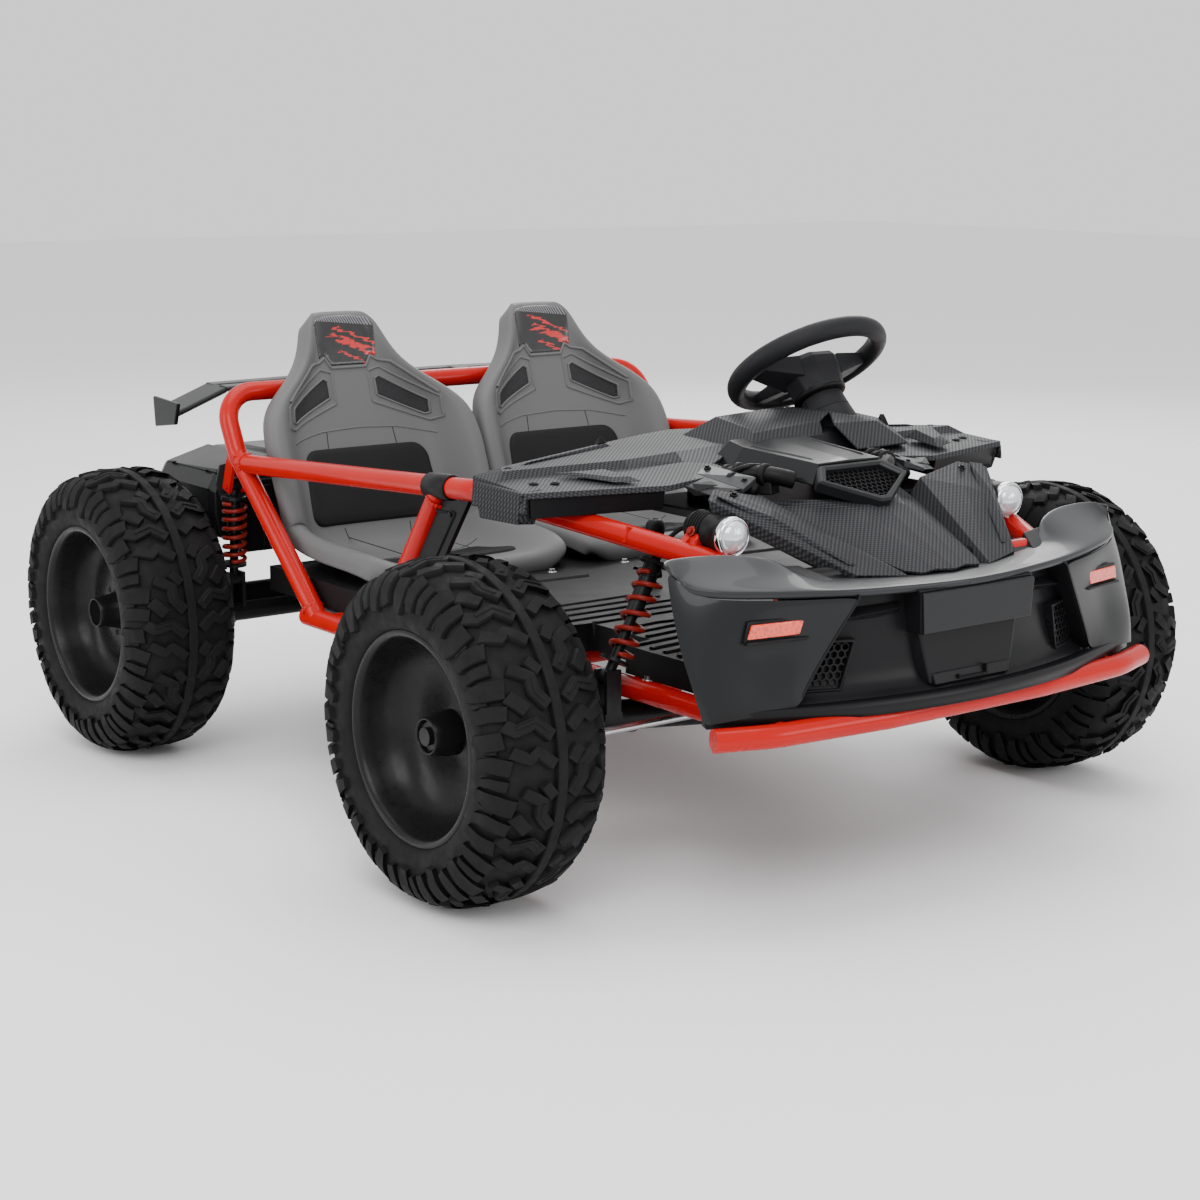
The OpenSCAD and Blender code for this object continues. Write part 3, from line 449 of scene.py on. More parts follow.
def steel(name, color, rough, stretch=(40, 900, 900)):
    f = Finish(name, color, rough, metallic=1.0)
    f.vary_color(f.noise(20, 5), shade(color, 0.85), shade(color, 1.1))
    f.vary_rough(f.noise(1.0, 4, vector=f.stretched(stretch)), rough * 0.7, rough * 1.5)
    f.bump(f.noise(1.0, 2, vector=f.stretched(stretch)), 0.05, 0.0003)
    return f.mat


def twill(name, dark, light, pitch, rough):
    """Woven tows under a satin film; pitch is one tow's width in millimetres."""
    f = Finish(name, dark, rough, specular=0.10)
    split = f.node("ShaderNodeSeparateXYZ")
    f.wire(f.coord, split.inputs[0])
    x, y, z = (split.outputs[i] for i in range(3))
    per = 1.0 / (pitch * MM)
    # steep faces borrow the height, so that the weave never stretches into lines
    u = f.math("MULTIPLY", f.math("ADD", x, f.math("MULTIPLY", z, 0.6)), per)
    v = f.math("MULTIPLY", f.math("ADD", y, f.math("MULTIPLY", z, 0.7)), per)
    cell = f.math("ADD", f.math("FLOOR", u), f.math("FLOOR", v))
    over = f.math("LESS_THAN", f.math("FLOORED_MODULO", cell, 2.0), 1.0)
    round_u = f.math("SINE", f.math("MULTIPLY", f.math("FRACT", u), math.pi))
    round_v = f.math("SINE", f.math("MULTIPLY", f.math("FRACT", v), math.pi))
    warp = f.math("MULTIPLY", over, round_u)
    weft = f.math("MULTIPLY", f.math("SUBTRACT", 1.0, over), round_v)
    height = f.math("ADD", warp, weft)
    tone = f.math("ADD", f.math("MULTIPLY", over, 0.62), f.math("MULTIPLY", height, 0.38))
    cloud = f.noise(7, 4)
    mixed = f.math("MULTIPLY", tone, f.ramp(cloud, 0.3, 0.7, 0.8, 1.15))
    f.vary_color(mixed, dark, light)
    f.wire(f.ramp(over, 0.0, 1.0, rough * 1.15, rough * 0.85), f.bsdf.inputs["Roughness"])
    f.bump(height, 0.10, 0.0005)
    return f.mat


def net(name, dark, light, pitch):
    """A fine diagonal net whose holes are painted near-black as the shade behind them."""
    f = Finish(name, dark, 0.6, specular=0.3)
    split = f.node("ShaderNodeSeparateXYZ")
    f.wire(f.coord, split.inputs[0])
    per = 1.0 / (pitch * MM)
    x, z = f.math("MULTIPLY", split.outputs[0], per), f.math("MULTIPLY", split.outputs[2], per)
    lines = []
    for across in (f.math("ADD", x, z), f.math("SUBTRACT", x, z)):
        wave = f.math("ABSOLUTE", f.math("SUBTRACT", f.math("FRACT", across), 0.5))
        lines.append(f.ramp(wave, 0.30, 0.44))
    height = f.math("MAXIMUM", lines[0], lines[1])
    # the holes take the dark colour as painted shade in the openings, the ribs the light one
    f.vary_color(height, dark, light)
    f.bump(height, 0.6, 0.0006)
    return f.mat


def lamp_glass(name):
    """A lens over a silver bowl, with fine ribs."""
    f = Finish(name, (0.62, 0.65, 0.70), 0.08, metallic=0.35, coat=1.0, specular=0.7, Coat_Roughness=0.02)
    ribs = f.math("SINE", f.math("MULTIPLY", f.noise(90, 2, vector=f.stretched((1, 1, 0.2))), 40))
    f.vary_color(f.noise(35, 3), (0.50, 0.53, 0.58), (0.85, 0.88, 0.92))
    f.bump(ribs, 0.12, 0.0008)
    return f.mat


def marker_glass(name, color):
    """A clear coloured lens over a field of small prisms, each painted darker in its middle and lighter towards
    its edge as painted glints.
    """
    f = Finish(name, color, 0.12, coat=1.0, specular=0.6, Coat_Roughness=0.03)
    prisms_and_glints = f.cells(240)
    # the prisms' colour is painted glints: darker in each prism's middle, lighter towards its edge
    f.vary_color(f.ramp(prisms_and_glints, 0.0, 0.6), shade(color, 0.55), shade(color, 1.3))
    f.bump(prisms_and_glints, 0.35, 0.0012)
    return f.mat


FINISHES = {}


def make_finishes():
    """Makes every finish once, from the colours on the panel."""
    F = FINISHES
    coats, shells = settings("kart_frame"), settings("kart_body")
    seat_grey, tyre_black = settings("kart_seats").seat_grey, settings("kart_wheels").tyre_black
    F["red"] = painted("red gloss paint", coats.frame_red, 0.20)
    F["spring_red"] = painted("red spring coat", coats.spring_red, 0.34)
    F["black_coat"] = powder("black powder coat", (0.006, 0.006, 0.0065), 0.38)
    F["damper"] = powder("damper black", (0.007, 0.007, 0.008), 0.32)
    F["seat"] = moulded("seat shell grey", seat_grey, 0.46, 900, 0.10)
    # near-black for the seat's crease lines: painted shade in the folds
    F["seat_crease_shade"] = moulded("seat crease painted shade", (0.012, 0.012, 0.013), 0.5, 800, 0.2)
    F["body"] = moulded("body panel charcoal", shells.body_grey, 0.30, 1100, 0.05, coat=0.15)
    F["body_dark"] = moulded("lower body black", (0.007, 0.007, 0.008), 0.34, 1000, 0.08)
    F["lip"] = moulded("bumper lip grey", (0.022, 0.023, 0.025), 0.34, 1100, 0.05, coat=0.15)
    F["floor"] = moulded("floor pan black", (0.006, 0.006, 0.0065), 0.52, 420, 0.30)
    F["trim"] = moulded("black trim", (0.006, 0.006, 0.0065), 0.42, 800, 0.15)
    F["grip"] = moulded("grip charcoal", (0.014, 0.014, 0.016), 0.50, 1300, 0.22)
    F["twill"] = twill("woven film", (0.0035, 0.0035, 0.004), (0.050, 0.051, 0.055), 3.0, 0.55)
    F["tyre"] = rubber("tyre rubber", tyre_black)
    F["rim"] = powder("wheel black", (0.007, 0.007, 0.0075), 0.30)
    F["steel"] = steel("bright steel", (0.55, 0.55, 0.56), 0.30)
    F["chrome"] = steel("chrome bezel", (0.80, 0.81, 0.83), 0.08, (30, 30, 30))
    F["mesh"] = moulded("mesh black", (0.006, 0.006, 0.007), 0.55, 600, 0.2)
    # near-black with almost no sheen: painted shade standing in for the darkness deep in a bore
    F["hole"] = moulded("painted bore shade", (0.002, 0.002, 0.002), 0.8, 600, 0.1, specular=0.02)
    F["vent"] = net("vent net", (0.004, 0.004, 0.005), (0.045, 0.045, 0.048), 1.6)
    F["lamp"] = lamp_glass("lamp glass")
    F["marker"] = marker_glass("marker lens", shells.marker_orange)


# ---------- tyres and wheels ----------
def tyre_skin():
    """The carcass section, from the inner bead over the tread to the outer bead, as (across, radius)."""
    half = TYRE_W / 2
    bead = 116.0
    return [
        (0, TYRE_R - 7), (22, TYRE_R - 7.6), (40, TYRE_R - 10), (54, TYRE_R - 15), (63, TYRE_R - 23),
        (68.5, TYRE_R - 34), (half - 2.0, TYRE_R - 48), (half - 1.6, TYRE_R - 58), (half - 4.5, bead + 6),
        (half - 9, bead + 1.5), (half - 14, bead - 1)]


class Skin:
    """Maps a distance across the tread to a place and a normal on the carcass."""

    def __init__(self):
        fine = spline(tyre_skin(), 6)
        self.points = fine
        self.lengths = [0.0]
        for a, b in zip(fine, fine[1:]):
            self.lengths.append(self.lengths[-1] + (b - a).length)

    def place(self, s):
        sign = 1 if s >= 0 else -1
        s = min(abs(s), self.lengths[-1] - 0.01)
        i = max(k for k in range(len(self.lengths) - 1) if self.lengths[k] <= s)
        t = (s - self.lengths[i]) / (self.lengths[i + 1] - self.lengths[i])
        a, b = self.points[i], self.points[i + 1]
        p = a.lerp(b, t)
        d = (b - a).normalized()
        normal = Vector((-d.y, d.x))
        if normal.y < 0 and p.y > TYRE_R - 30:
            normal = -normal
        return (sign * p.x, p.y), (sign * abs(normal.x), normal.y)


def wheel_point(along, radius, turn):
    """A point in the wheel's own axes: X along the axle, turn about it."""
    return Vector((along * MM, radius * MM * math.cos(turn), radius * MM * math.sin(turn)))


def tread_block(skin, path, width, height, points, faces):
    """One lug swept along a path of (across, around) in millimetres on the carcass."""
    section = [(-0.5, -2.0, 1.5), (-0.5, height - 1.6, 0.4), (-0.5, height, -1.2),
               (0.5, height, 1.2), (0.5, height - 1.6, -0.4), (0.5, -2.0, -1.5)]
    fine = []
    for (s0, c0, w0), (s1, c1, w1) in zip(path, path[1:]):
        steps = max(2, int(math.hypot(s1 - s0, c1 - c0) / 6))
        fine += [(s0 + (s1 - s0) * k / steps, c0 + (c1 - c0) * k / steps, w0 + (w1 - w0) * k / steps)
                 for k in range(steps)]
    fine.append(path[-1])
    rings = []
    for i, (s, c, w) in enumerate(fine):
        s0, c0, _ = fine[max(i - 1, 0)]
        s1, c1, _ = fine[min(i + 1, len(fine) - 1)]
        length = math.hypot(s1 - s0, c1 - c0) or 1.0
        nx, ny = -(c1 - c0) / length, (s1 - s0) / length
        ring = []
        for side, h, spread in section:
            edge = side * (width * w) + (-spread if side < 0 else spread)
            across, around = s + nx * edge, c + ny * edge
            (a, r), (na, nr) = skin.place(across)
            a, r = a + na * h, r + nr * h
            ring.append(wheel_point(a, r, around / TYRE_R))
        rings.append(ring)
    start = len(points)
    m = len(section)
    for ring in rings:
        points += ring
    faces += quads(len(rings), m, first=start)
    # chamfered ends: the last ring sinks into the carcass
    for index, step in ((0, 1), (len(rings) - 1, -1)):
        s, c, w = fine[index]
        s0, c0, _ = fine[index + step]
        length = math.hypot(s - s0, c - c0) or 1.0
        ds, dc = (s - s0) / length * 1.8, (c - c0) / length * 1.8
        low = len(points)
        for side, h, spread in section:
            nx, ny = -dc / 1.8 * (1 if index else -1), ds / 1.8 * (1 if index else -1)
            edge = side * (width * w) + (-spread if side < 0 else spread)
            across, around = s + ds + nx * edge, c + dc + ny * edge
            (a, r), (na, nr) = skin.place(across)
            points.append(wheel_point(a - na * 2, r - nr * 2, around / TYRE_R))
        ring = start + index * m
        for k in range(m - 1):
            quad = (low + k, low + k + 1, ring + k + 1, ring + k)
            faces.append(quad if index == 0 else quad[::-1])


# each lug of the tread's pattern: its path of (across, around, width factor), its width and its height
LUGS = (
    # a hooked lug, a boomerang lug and a forked lug lean away from the centre band
    ([(11, 6, 1), (30, 22, 1), (38, 14, 1), (56, 24, 1.1)], 11, 6.8),
    ([(12, 36, 1), (29, 52, 1), (50, 46, 1.1), (60, 54, 1)], 12, 6.8),
    ([(11, 68, 1), (24, 84, 1), (24, 100, 1), (44, 112, 0.9)], 12, 6.8),
    ([(36, 66, 1), (52, 84, 1)], 13, 6.4),
    ([(11, 104, 1), (22, 118, 0.9)], 11, 6.6),
    # ridges on top of the lugs
    ([(15, 41, 1), (29, 54, 1), (49, 49, 1)], 3.2, 8.0),
    ([(15, 73, 1), (23, 83, 1), (23, 98, 1)], 3.2, 8.0),
    # shoulder blocks run down the side wall
    ([(57, 6, 1), (74, 10, 1.1), (92, 8, 0.8)], 17, 6.2),
    ([(62, 38, 1), (80, 36, 1.1), (98, 40, 0.7)], 19, 5.6),
    ([(55, 66, 1), (76, 70, 1.2), (90, 66, 0.9)], 15, 6.2),
    ([(52, 92, 1), (72, 96, 1.1), (95, 100, 0.7)], 20, 5.6),
    ([(60, 118, 1), (76, 120, 1), (88, 118, 0.8)], 12, 6.0),
    ([(70, 24, 1), (86, 24, 1)], 5, 3.4),
    ([(72, 82, 1), (92, 84, 1)], 5, 3.4),
)


def tyre_mesh():
    """One knobby tyre in its wheel's own axes."""
    skin = Skin()
    section = [(p.x, p.y) for p in skin.points]
    section += [(TYRE_W / 2 - 14, 112.5), (TYRE_W / 2 - 16, 118), (40, 150), (0, 160)]
    section += [(-a, r) for a, r in reversed(section[1:-1])]
    steps = 128
    turns = [2 * math.pi * i / steps for i in range(steps)]
    points = [wheel_point(a, r, turn) for turn in turns for a, r in section]
    faces = quads(steps, len(section), True, True)
    around = 2 * math.pi * TYRE_R
    repeats = 9
    pitch = around / repeats
    for side in (1, -1):
        offset = 0 if side > 0 else pitch * 0.27
        for i in range(repeats):
            c = i * pitch + offset
            for path, width, height in LUGS:
                tread_block(skin, [(side * s, c + q, w) for s, q, w in path], width, height, points, faces)
    # the raised centre band
    band = [(-7.5, -2), (-6, 5.4), (-4.8, 6.4), (4.8, 6.4), (6, 5.4), (7.5, -2)]
    faces += quads(steps, len(band), True, first=len(points))
    for turn in turns:
        for s, h in band:
            (a, r), (na, nr) = skin.place(s)
            points.append(wheel_point(a + na * h, r + nr * h, turn))
    return points, faces


def rim_profile(front):
    """The rim's outer face and barrel as (along, radius); along points to the outside of the car."""
    half = TYRE_W / 2
    lip = [(half - 13, 117.5), (half - 8, 117.5), (half - 6.5, 114.5), (half - 8, 111), (half - 14, 108.5),
           (half - 24, 106)]
    if front:
        dish = [
            (half - 38, 102), (half - 52, 95), (half - 62, 84), (half - 67, 70), (half - 68, 54),
            (half - 66.5, 40), (half - 64, 30), (half - 62, 24), (half - 62, 17.5), (half - 90, 17)]
    else:
        dish = [
            (half - 40, 103), (half - 54, 98), (half - 63, 90), (half - 66, 80), (half - 64, 72),
            (half - 58, 66), (half - 55, 58), (half - 54.5, 40), (half - 55, 22), (half - 57, 19),
            (half - 90, 18.5)]
    back = [(half - 90, 60), (half - 84, 88), (half - 100, 104), (-half + 14, 107), (-half + 7, 112),
            (-half + 7, 117.5), (-half + 13, 117.5), (-half + 18, 111.5), (half - 18, 111.5)]
    return lip + dish + back


def wheel_pieces():
    """Tyres and rims for the four wheels."""
    points, faces = tyre_mesh()
    base = mesh_piece("tyre_pattern", points, faces, True)
    base.data.set_sharp_from_angle(angle=math.radians(38))
    base_mesh = base.data
    bpy.data.objects.remove(base)
    for end in ("front", "rear"):
        for side, sign in (("left", 1), ("right", -1)):
            node = f"tyre_{end}_{side}"
            centre = middle(node)
            mesh = base_mesh.copy()
            turn = {"frontleft": 0.1, "frontright": 0.35, "rearleft": 0.2, "rearright": 0.55}[end + side]
            spin = Matrix.Rotation(turn, 4, "X")
            mesh.transform(Matrix.Translation(centre) @ spin @ Matrix.Diagonal((sign, 1, sign, 1)))
            tyre = link(f"{node}_tread", mesh)
            finish_piece(paint(tyre, "tyre"), f"wheel_{end}_{side}", "tyre_rubber", node)
            rim = lathe(f"rim_{end}_{side}_dish", rim_profile(end == "front"), centre, (sign, 0, 0), 96)
            rim.data.set_sharp_from_angle(angle=math.radians(50))
            parts = [paint(rim, "rim")]
            if end == "rear":
                parts += rear_wheel_details(centre, sign)
            else:
                parts += front_wheel_details(centre, sign)
            finish_piece(
                joined(f"rim_{end}_{side}_face", parts), f"wheel_{end}_{side}", "rim_black",
                f"rim_{end}_{side}")


def hole_ring(name, centre, axis, radius, depth=0.15):
    """The dark well of a hole, with a soft rim."""
    ring = [
        (0, radius + 1.6), (0.9, radius + 0.9), (0.9, radius + 0.1), (0.2, radius), (-depth, radius - 0.4),
        (-depth, 0.01)]
    return turned(name, ring, centre, axis, "mesh", 20)


def boss_pieces(name, profile, floor_at, centre, sign):
    """A turned boss and the floor sunk in its end, painted near-black with no sheen as the shade of a deep
    bore.
    """
    axis = (sign, 0, 0)
    floor_r = profile[-1][1]
    return [turned(name, profile, centre, axis, "rim", 48), turned(
        name + "_floor", [(floor_at, floor_r + 0.4), (floor_at, floor_r * 0.5), (floor_at, 0.01)], centre,
        axis, "hole")]


def rear_wheel_details(centre, sign):
    """Five bolt holes and five small holes round the raised hub face, and the boss."""
    out = []
    face = TYRE_W / 2 - 54.8
    for name, start, spread, radius in (("hole", 0.25, 44, 5.5), ("small", 0.75, 31, 2.4)):
        for i in range(5):
            place = centre + wheel_point(sign * face, spread, 2 * math.pi * (i + start) / 5)
            out.append(hole_ring(f"{name}{i}", place, (sign, 0, 0), radius))
    # a tapered boss hides the axle's nut; its slightly sunk end is painted near-black as the shade of a deep
    # bore
    boss = [
        (-4, 25), (2.4, 24.4), (3.6, 23.2), (25, 20.2), (30.6, 19.4), (31.6, 18.6), (31.4, 17.6),
        (29.8, 17.2)]
    out += boss_pieces("hub_cap", boss, 29.6, centre + Vector((sign * face * MM, 0, 0)), sign)
    return out


def front_wheel_details(centre, sign):
    """The bore's wall and lip deep in the bowl, and the boss."""
    deep = centre + Vector((sign * (TYRE_W / 2 - 66) * MM, 0, 0))
    cap = [(0, 17.4), (-6, 17), (-20, 16.6), (-20, 0.01)]
    bore = turned("bore", cap, deep, (sign, 0, 0), "mesh", 32)
    lip = [(0, 17.4), (4.5, 18.0), (5.2, 19.4), (4.6, 21), (1.5, 26)]
    ring = turned("bore_lip", lip, deep, (sign, 0, 0), "rim", 48)
    boss = [
        (-14, 26), (6, 24.8), (21, 21.6), (27.4, 20.4), (28.6, 19.4), (28.4, 18.2), (26.4, 17.6),
        (23.6, 17.2)]
    bosses = boss_pieces("bore_cap", boss, 23.4, centre + Vector((sign * 16 * MM, 0, 0)), sign)
    return [bore, ring] + bosses


# ---------- springs and dampers ----------
def coil_piece(name, top, low, coil_r, wire_r, turns):
    """A helical spring with ground, closed end turns."""
    top, low = Vector(top), Vector(low)
    length = (low - top).length
    z = (low - top).normalized()
    x = z.orthogonal().normalized()
    y = z.cross(x)
    path = []
    steps = int(turns * 20)
    for i in range(steps + 1):
        t = i / steps
        angle = 2 * math.pi * turns * t
        # the end turns lie close together
        along = length * (0.78 * t + 0.22 * (0.5 - 0.5 * math.cos(math.pi * t)))
        path.append(top + z * along + (x * math.cos(angle) + y * math.sin(angle)) * coil_r)
    return sweep(name, path, circle(wire_r / MM, 10), up=z)


def spring_pieces():
    """Red coil springs on the front and rear dampers."""
    wire = 2.9 * MM
    for side, sign in (("left", 1), ("right", -1)):
        node = f"front_spring_{side}"
        low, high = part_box(node)
        inner_x = min(abs(low.x), abs(high.x))
        outer_x = max(abs(low.x), abs(high.x))
        y = (low.y + high.y) / 2
        run = Vector((72, 0, -137)).normalized()
        coil_r = 14.2 * MM
        reach = coil_r * abs(run.z) + wire
        rise = coil_r * abs(run.x) + wire
        top = (sign * (inner_x + reach), y, high.z - rise)
        base = (sign * (outer_x - reach), y, low.z + rise)
        piece = coil_piece(f"{node}_coil", top, base, coil_r, wire, 6.0)
        finish_piece(paint(piece, "spring_red"), f"front_damper_{side}", "red_spring", node)
        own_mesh(piece)
    node = "rear_springs"
    low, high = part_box(node)
    parts = []
    coil_r = 14.2 * MM
    for sign in (1, -1):
        x = high.x - coil_r - wire
        tilt = Vector((0, 9, -129)).normalized()
        inset = coil_r * abs(tilt.y) + wire
        y_mid = (low.y + high.y) / 2
        span = high.z - low.z - 2 * inset
        shift = span * abs(tilt.y / tilt.z) / 2
        top = Vector((sign * x, y_mid - shift, high.z - inset))
        base = Vector((sign * x, y_mid + shift, low.z + inset))
        parts.append(coil_piece(f"coil{sign}", top, base, coil_r, wire, 7.0))
    piece = joined("rear_springs_coil", parts)
    finish_piece(paint(piece, "spring_red"), "rear_dampers", "red_spring", node)
    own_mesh(piece)


def ring_piece(name, centre, axis, inner, outer, height, material, chamfer=0.8, steps=32):
    """A collar round an axis, from centre along it by height, all in millimetres."""
    c = chamfer
    section = [
        (0, inner), (0, outer - c), (c, outer), (height - c, outer), (height, outer - c), (height, inner)]
    return paint(lathe(name, section, centre, axis, steps), material)


def damper_details():
    """Spring seats and threaded sleeves on the dampers."""
    for side, sign in (("left", 1), ("right", -1)):
        for end, body, top, low in (
                ("front", f"front_damper_{side}", at(sign * 225, -48, 372), at(sign * 297, -48, 235)),
                ("rear", "rear_dampers", at(sign * 349, WHEELBASE - 100, 362),
                at(sign * 349, WHEELBASE - 91, 233))):
            run = (low - top).normalized()
            ring = ring_piece(f"{end}_{side}_collar", top + run * (15.5 * MM), run, 8, 16.6, 4.5, "damper")
            parts = [ring]
            for k in range(7):
                parts.append(ring_piece(
                    f"thread{k}", top + run * ((21.5 + k * 2.2) * MM), run, 8, 10.4, 1.3, "damper", 0.4,
                    24))
            finish_piece(joined(f"{end}_damper_{side}_seat", parts), body, "damper_black")


# ---------- seats ----------
# rows of the shell from the front lip over the cushion and up the back: across the middle (y, z),
# half width and height of the side bolster, all in millimetres
SEAT_ROWS = [
    (400, 256, 118, 0), (395, 268, 132, 3), (399, 281, 144, 8), (416, 285, 152, 14), (450, 279, 157, 26),
    (505, 267, 160, 40), (560, 262, 161, 50), (602, 264, 161, 58), (628, 277, 161, 62), (640, 300, 161, 62),
    (657, 350, 162, 60), (672, 400, 163, 56), (686, 440, 157, 48), (695, 468, 132, 36), (703, 494, 96, 23),
    (711, 520, 72, 15), (719, 546, 60, 11), (727, 566, 53, 8), (733, 578, 42, 3), (741, 580, 38, -1)]
SEAT_COLS = [
    (0.0, 0.0), (0.25, 0.0), (0.45, 0.02), (0.60, 0.10), (0.71, 0.34), (0.80, 0.68), (0.88, 0.93),
    (0.95, 1.0)]


def seat_shell(name, centre_x):
    rows = []
    for i, (y, z, half, rise) in enumerate(SEAT_ROWS):
        y0, z0 = SEAT_ROWS[max(i - 1, 0)][:2]
        y1, z1 = SEAT_ROWS[min(i + 1, len(SEAT_ROWS) - 1)][:2]
        along = Vector((0, y1 - y0, z1 - z0)).normalized()
        normal = Vector((0, -along.z, along.y))
        side = [(f * half, h * rise) for f, h in SEAT_COLS]
        side += [(half + 1.5, rise - 5), (half + 3.5, rise - 14), (half + 3.0, rise - 26)]
        row = [(-x, h) for x, h in reversed(side[1:])] + side
        rows.append([at(centre_x + x, y, z) + normal * (h * MM) for x, h in row])
    points = [p for row in rows for p in row]
    obj = subdivided(mesh_piece(name, points, quads(len(rows), len(rows[0]))), 2)
    bm = bmesh.new()
    bm.from_mesh(obj.data)
    low = min(bm.faces, key=lambda f: (f.calc_center_median() - at(centre_x, 510, 265)).length)
    if low.normal.z < 0:
        bmesh.ops.reverse_faces(bm, faces=bm.faces)
    bm.to_mesh(obj.data)
    bm.free()
    return obj


def tree_of(obj):
    bm = bmesh.new()
    bm.from_mesh(obj.data)
    made = BVHTree.FromBMesh(bm)
    bm.free()
    return made


def shrunk(outline, inset):
    """The outline moved in by an even distance."""
    n = len(outline)
    area = sum(
        outline[i][0] * outline[(i + 1) % n][1] - outline[(i + 1) % n][0] * outline[i][1] for i in range(n))
    turn = 1 if area > 0 else -1
    out = []
    for i in range(n):
        a, b, c = Vector(outline[i - 1]), Vector(outline[i]), Vector(outline[(i + 1) % n])
        d1, d2 = (b - a).normalized(), (c - b).normalized()
        n1, n2 = Vector((-d1.y, d1.x)) * turn, Vector((-d2.y, d2.x)) * turn
        mid = n1 + n2
        mid = mid.normalized() if mid.length > 1e-6 else n1
        out.append(tuple(b + mid * (inset / max(0.35, mid.dot(n1)))))
    return out


def dense(outline, spacing):
    out = []
    n = len(outline)
    for i in range(n):
        a, b = Vector(outline[i]), Vector(outline[(i + 1) % n])
        steps = max(1, int(round((b - a).length / spacing)))
        out += [tuple(a.lerp(b, k / steps)) for k in range(steps)]
    return out


def inside(p, outline):
    x, y = p
    hit = False
    n = len(outline)
    for i in range(n):
        x0, y0 = outline[i]
        x1, y1 = outline[(i + 1) % n]
        if (y0 > y) != (y1 > y) and x < (x1 - x0) * (y - y0) / (y1 - y0) + x0:
            hit = not hit
    return hit


def turned_out(obj, place, normal):
    """Makes a thin piece's faces look along the normal at a place on it."""
    face = min(obj.data.polygons, key=lambda f: (f.center - place).length)
    if face.normal.dot(normal) < 0:
        obj.data.flip_normals()
    return obj


def draped(name, outline, cast, lift, material, edge=3.0, spacing=7.0, crown=0.0):
    """A pad that follows the surface under it. cast takes (u, v) in millimetres to a place and a normal."""
    outline = dense(outline, spacing)
    rings = [(outline, -1.2), (shrunk(outline, edge * 0.35), lift * 0.62), (shrunk(outline, edge), lift)]
    verts, heights, edges = [], [], []
    for ring, h in rings:
        base = len(verts)
        verts += [Vector(p) for p in ring]
        heights += [h] * len(ring)
        edges += [(base + i, base + (i + 1) % len(ring)) for i in range(len(ring))]
    core = shrunk(outline, edge + spacing * 0.5)
    xs, ys = [p[0] for p in outline], [p[1] for p in outline]
    cx, cy = (min(xs) + max(xs)) / 2, (min(ys) + max(ys)) / 2
    x = min(xs)
    while x < max(xs):
        y = min(ys)
        while y < max(ys):
            if inside((x, y), core):
                verts.append(Vector((x, y)))
                r = max(abs(x - cx) / (max(xs) - min(xs)), abs(y - cy) / (max(ys) - min(ys))) * 2
                heights.append(lift + crown * max(0.0, 1 - r * r))
            y += spacing
        x += spacing
    flat, _, tris, origin, _, _ = delaunay_2d_cdt(verts, edges, [], 1, 1e-4)
    points = []
    for i, p in enumerate(flat):
        h = heights[origin[i][0]] if origin[i] else lift
        place, normal = cast(p.x, p.y)
        points.append(place + normal * (h * MM))
    keep = []
    for t in tris:
        mid = sum((Vector(flat[i]) for i in t), Vector((0, 0))) / 3
        if inside(mid, outline):
            keep.append(tuple(t))
    return paint(turned_out(mesh_piece(name, points, keep), *cast(cx, cy)), material)


def groove_line(name, path, cast, width, height, material):
    """A thin raised or dark line that follows a surface."""
    fine = []
    for (u0, v0), (u1, v1) in zip(path, path[1:]):
        steps = max(2, int(math.hypot(u1 - u0, v1 - v0) / 5))
        fine += [(u0 + (u1 - u0) * k / steps, v0 + (v1 - v0) * k / steps) for k in range(steps)]
    fine.append(path[-1])
    points = []
    for i, (u, v) in enumerate(fine):
        u0, v0 = fine[max(i - 1, 0)]
        u1, v1 = fine[min(i + 1, len(fine) - 1)]
        size = math.hypot(u1 - u0, v1 - v0) or 1
        nu, nv = -(v1 - v0) / size, (u1 - u0) / size
        for side, h in ((-1, -0.6), (-0.55, height), (0.55, height), (1, -0.6)):
            place, normal = cast(u + nu * side * width / 2, v + nv * side * width / 2)
            points.append(place + normal * (h * MM))
    obj = mesh_piece(name, points, quads(len(fine), 4))
    return paint(turned_out(obj, *cast(*fine[len(fine) // 2])), material)


def caster(tree, origin, u_axis, v_axis, direction):
    """Makes a cast that drops points (u, v) in millimetres on a plane down onto a surface."""
    reach = 0.6
    origin, u_axis, v_axis, direction = Vector(origin), Vector(u_axis), Vector(v_axis), Vector(direction)

    def cast(u, v):
        start = origin + u_axis * (u * MM) + v_axis * (v * MM)
        place, normal, _, _ = tree.ray_cast(start, direction, reach)
        if place is None:
            place, normal, _, _ = tree.find_nearest(start + direction * (reach * 0.5))
        if normal.dot(direction) > 0:
            normal = -normal
        return place, normal
    return cast


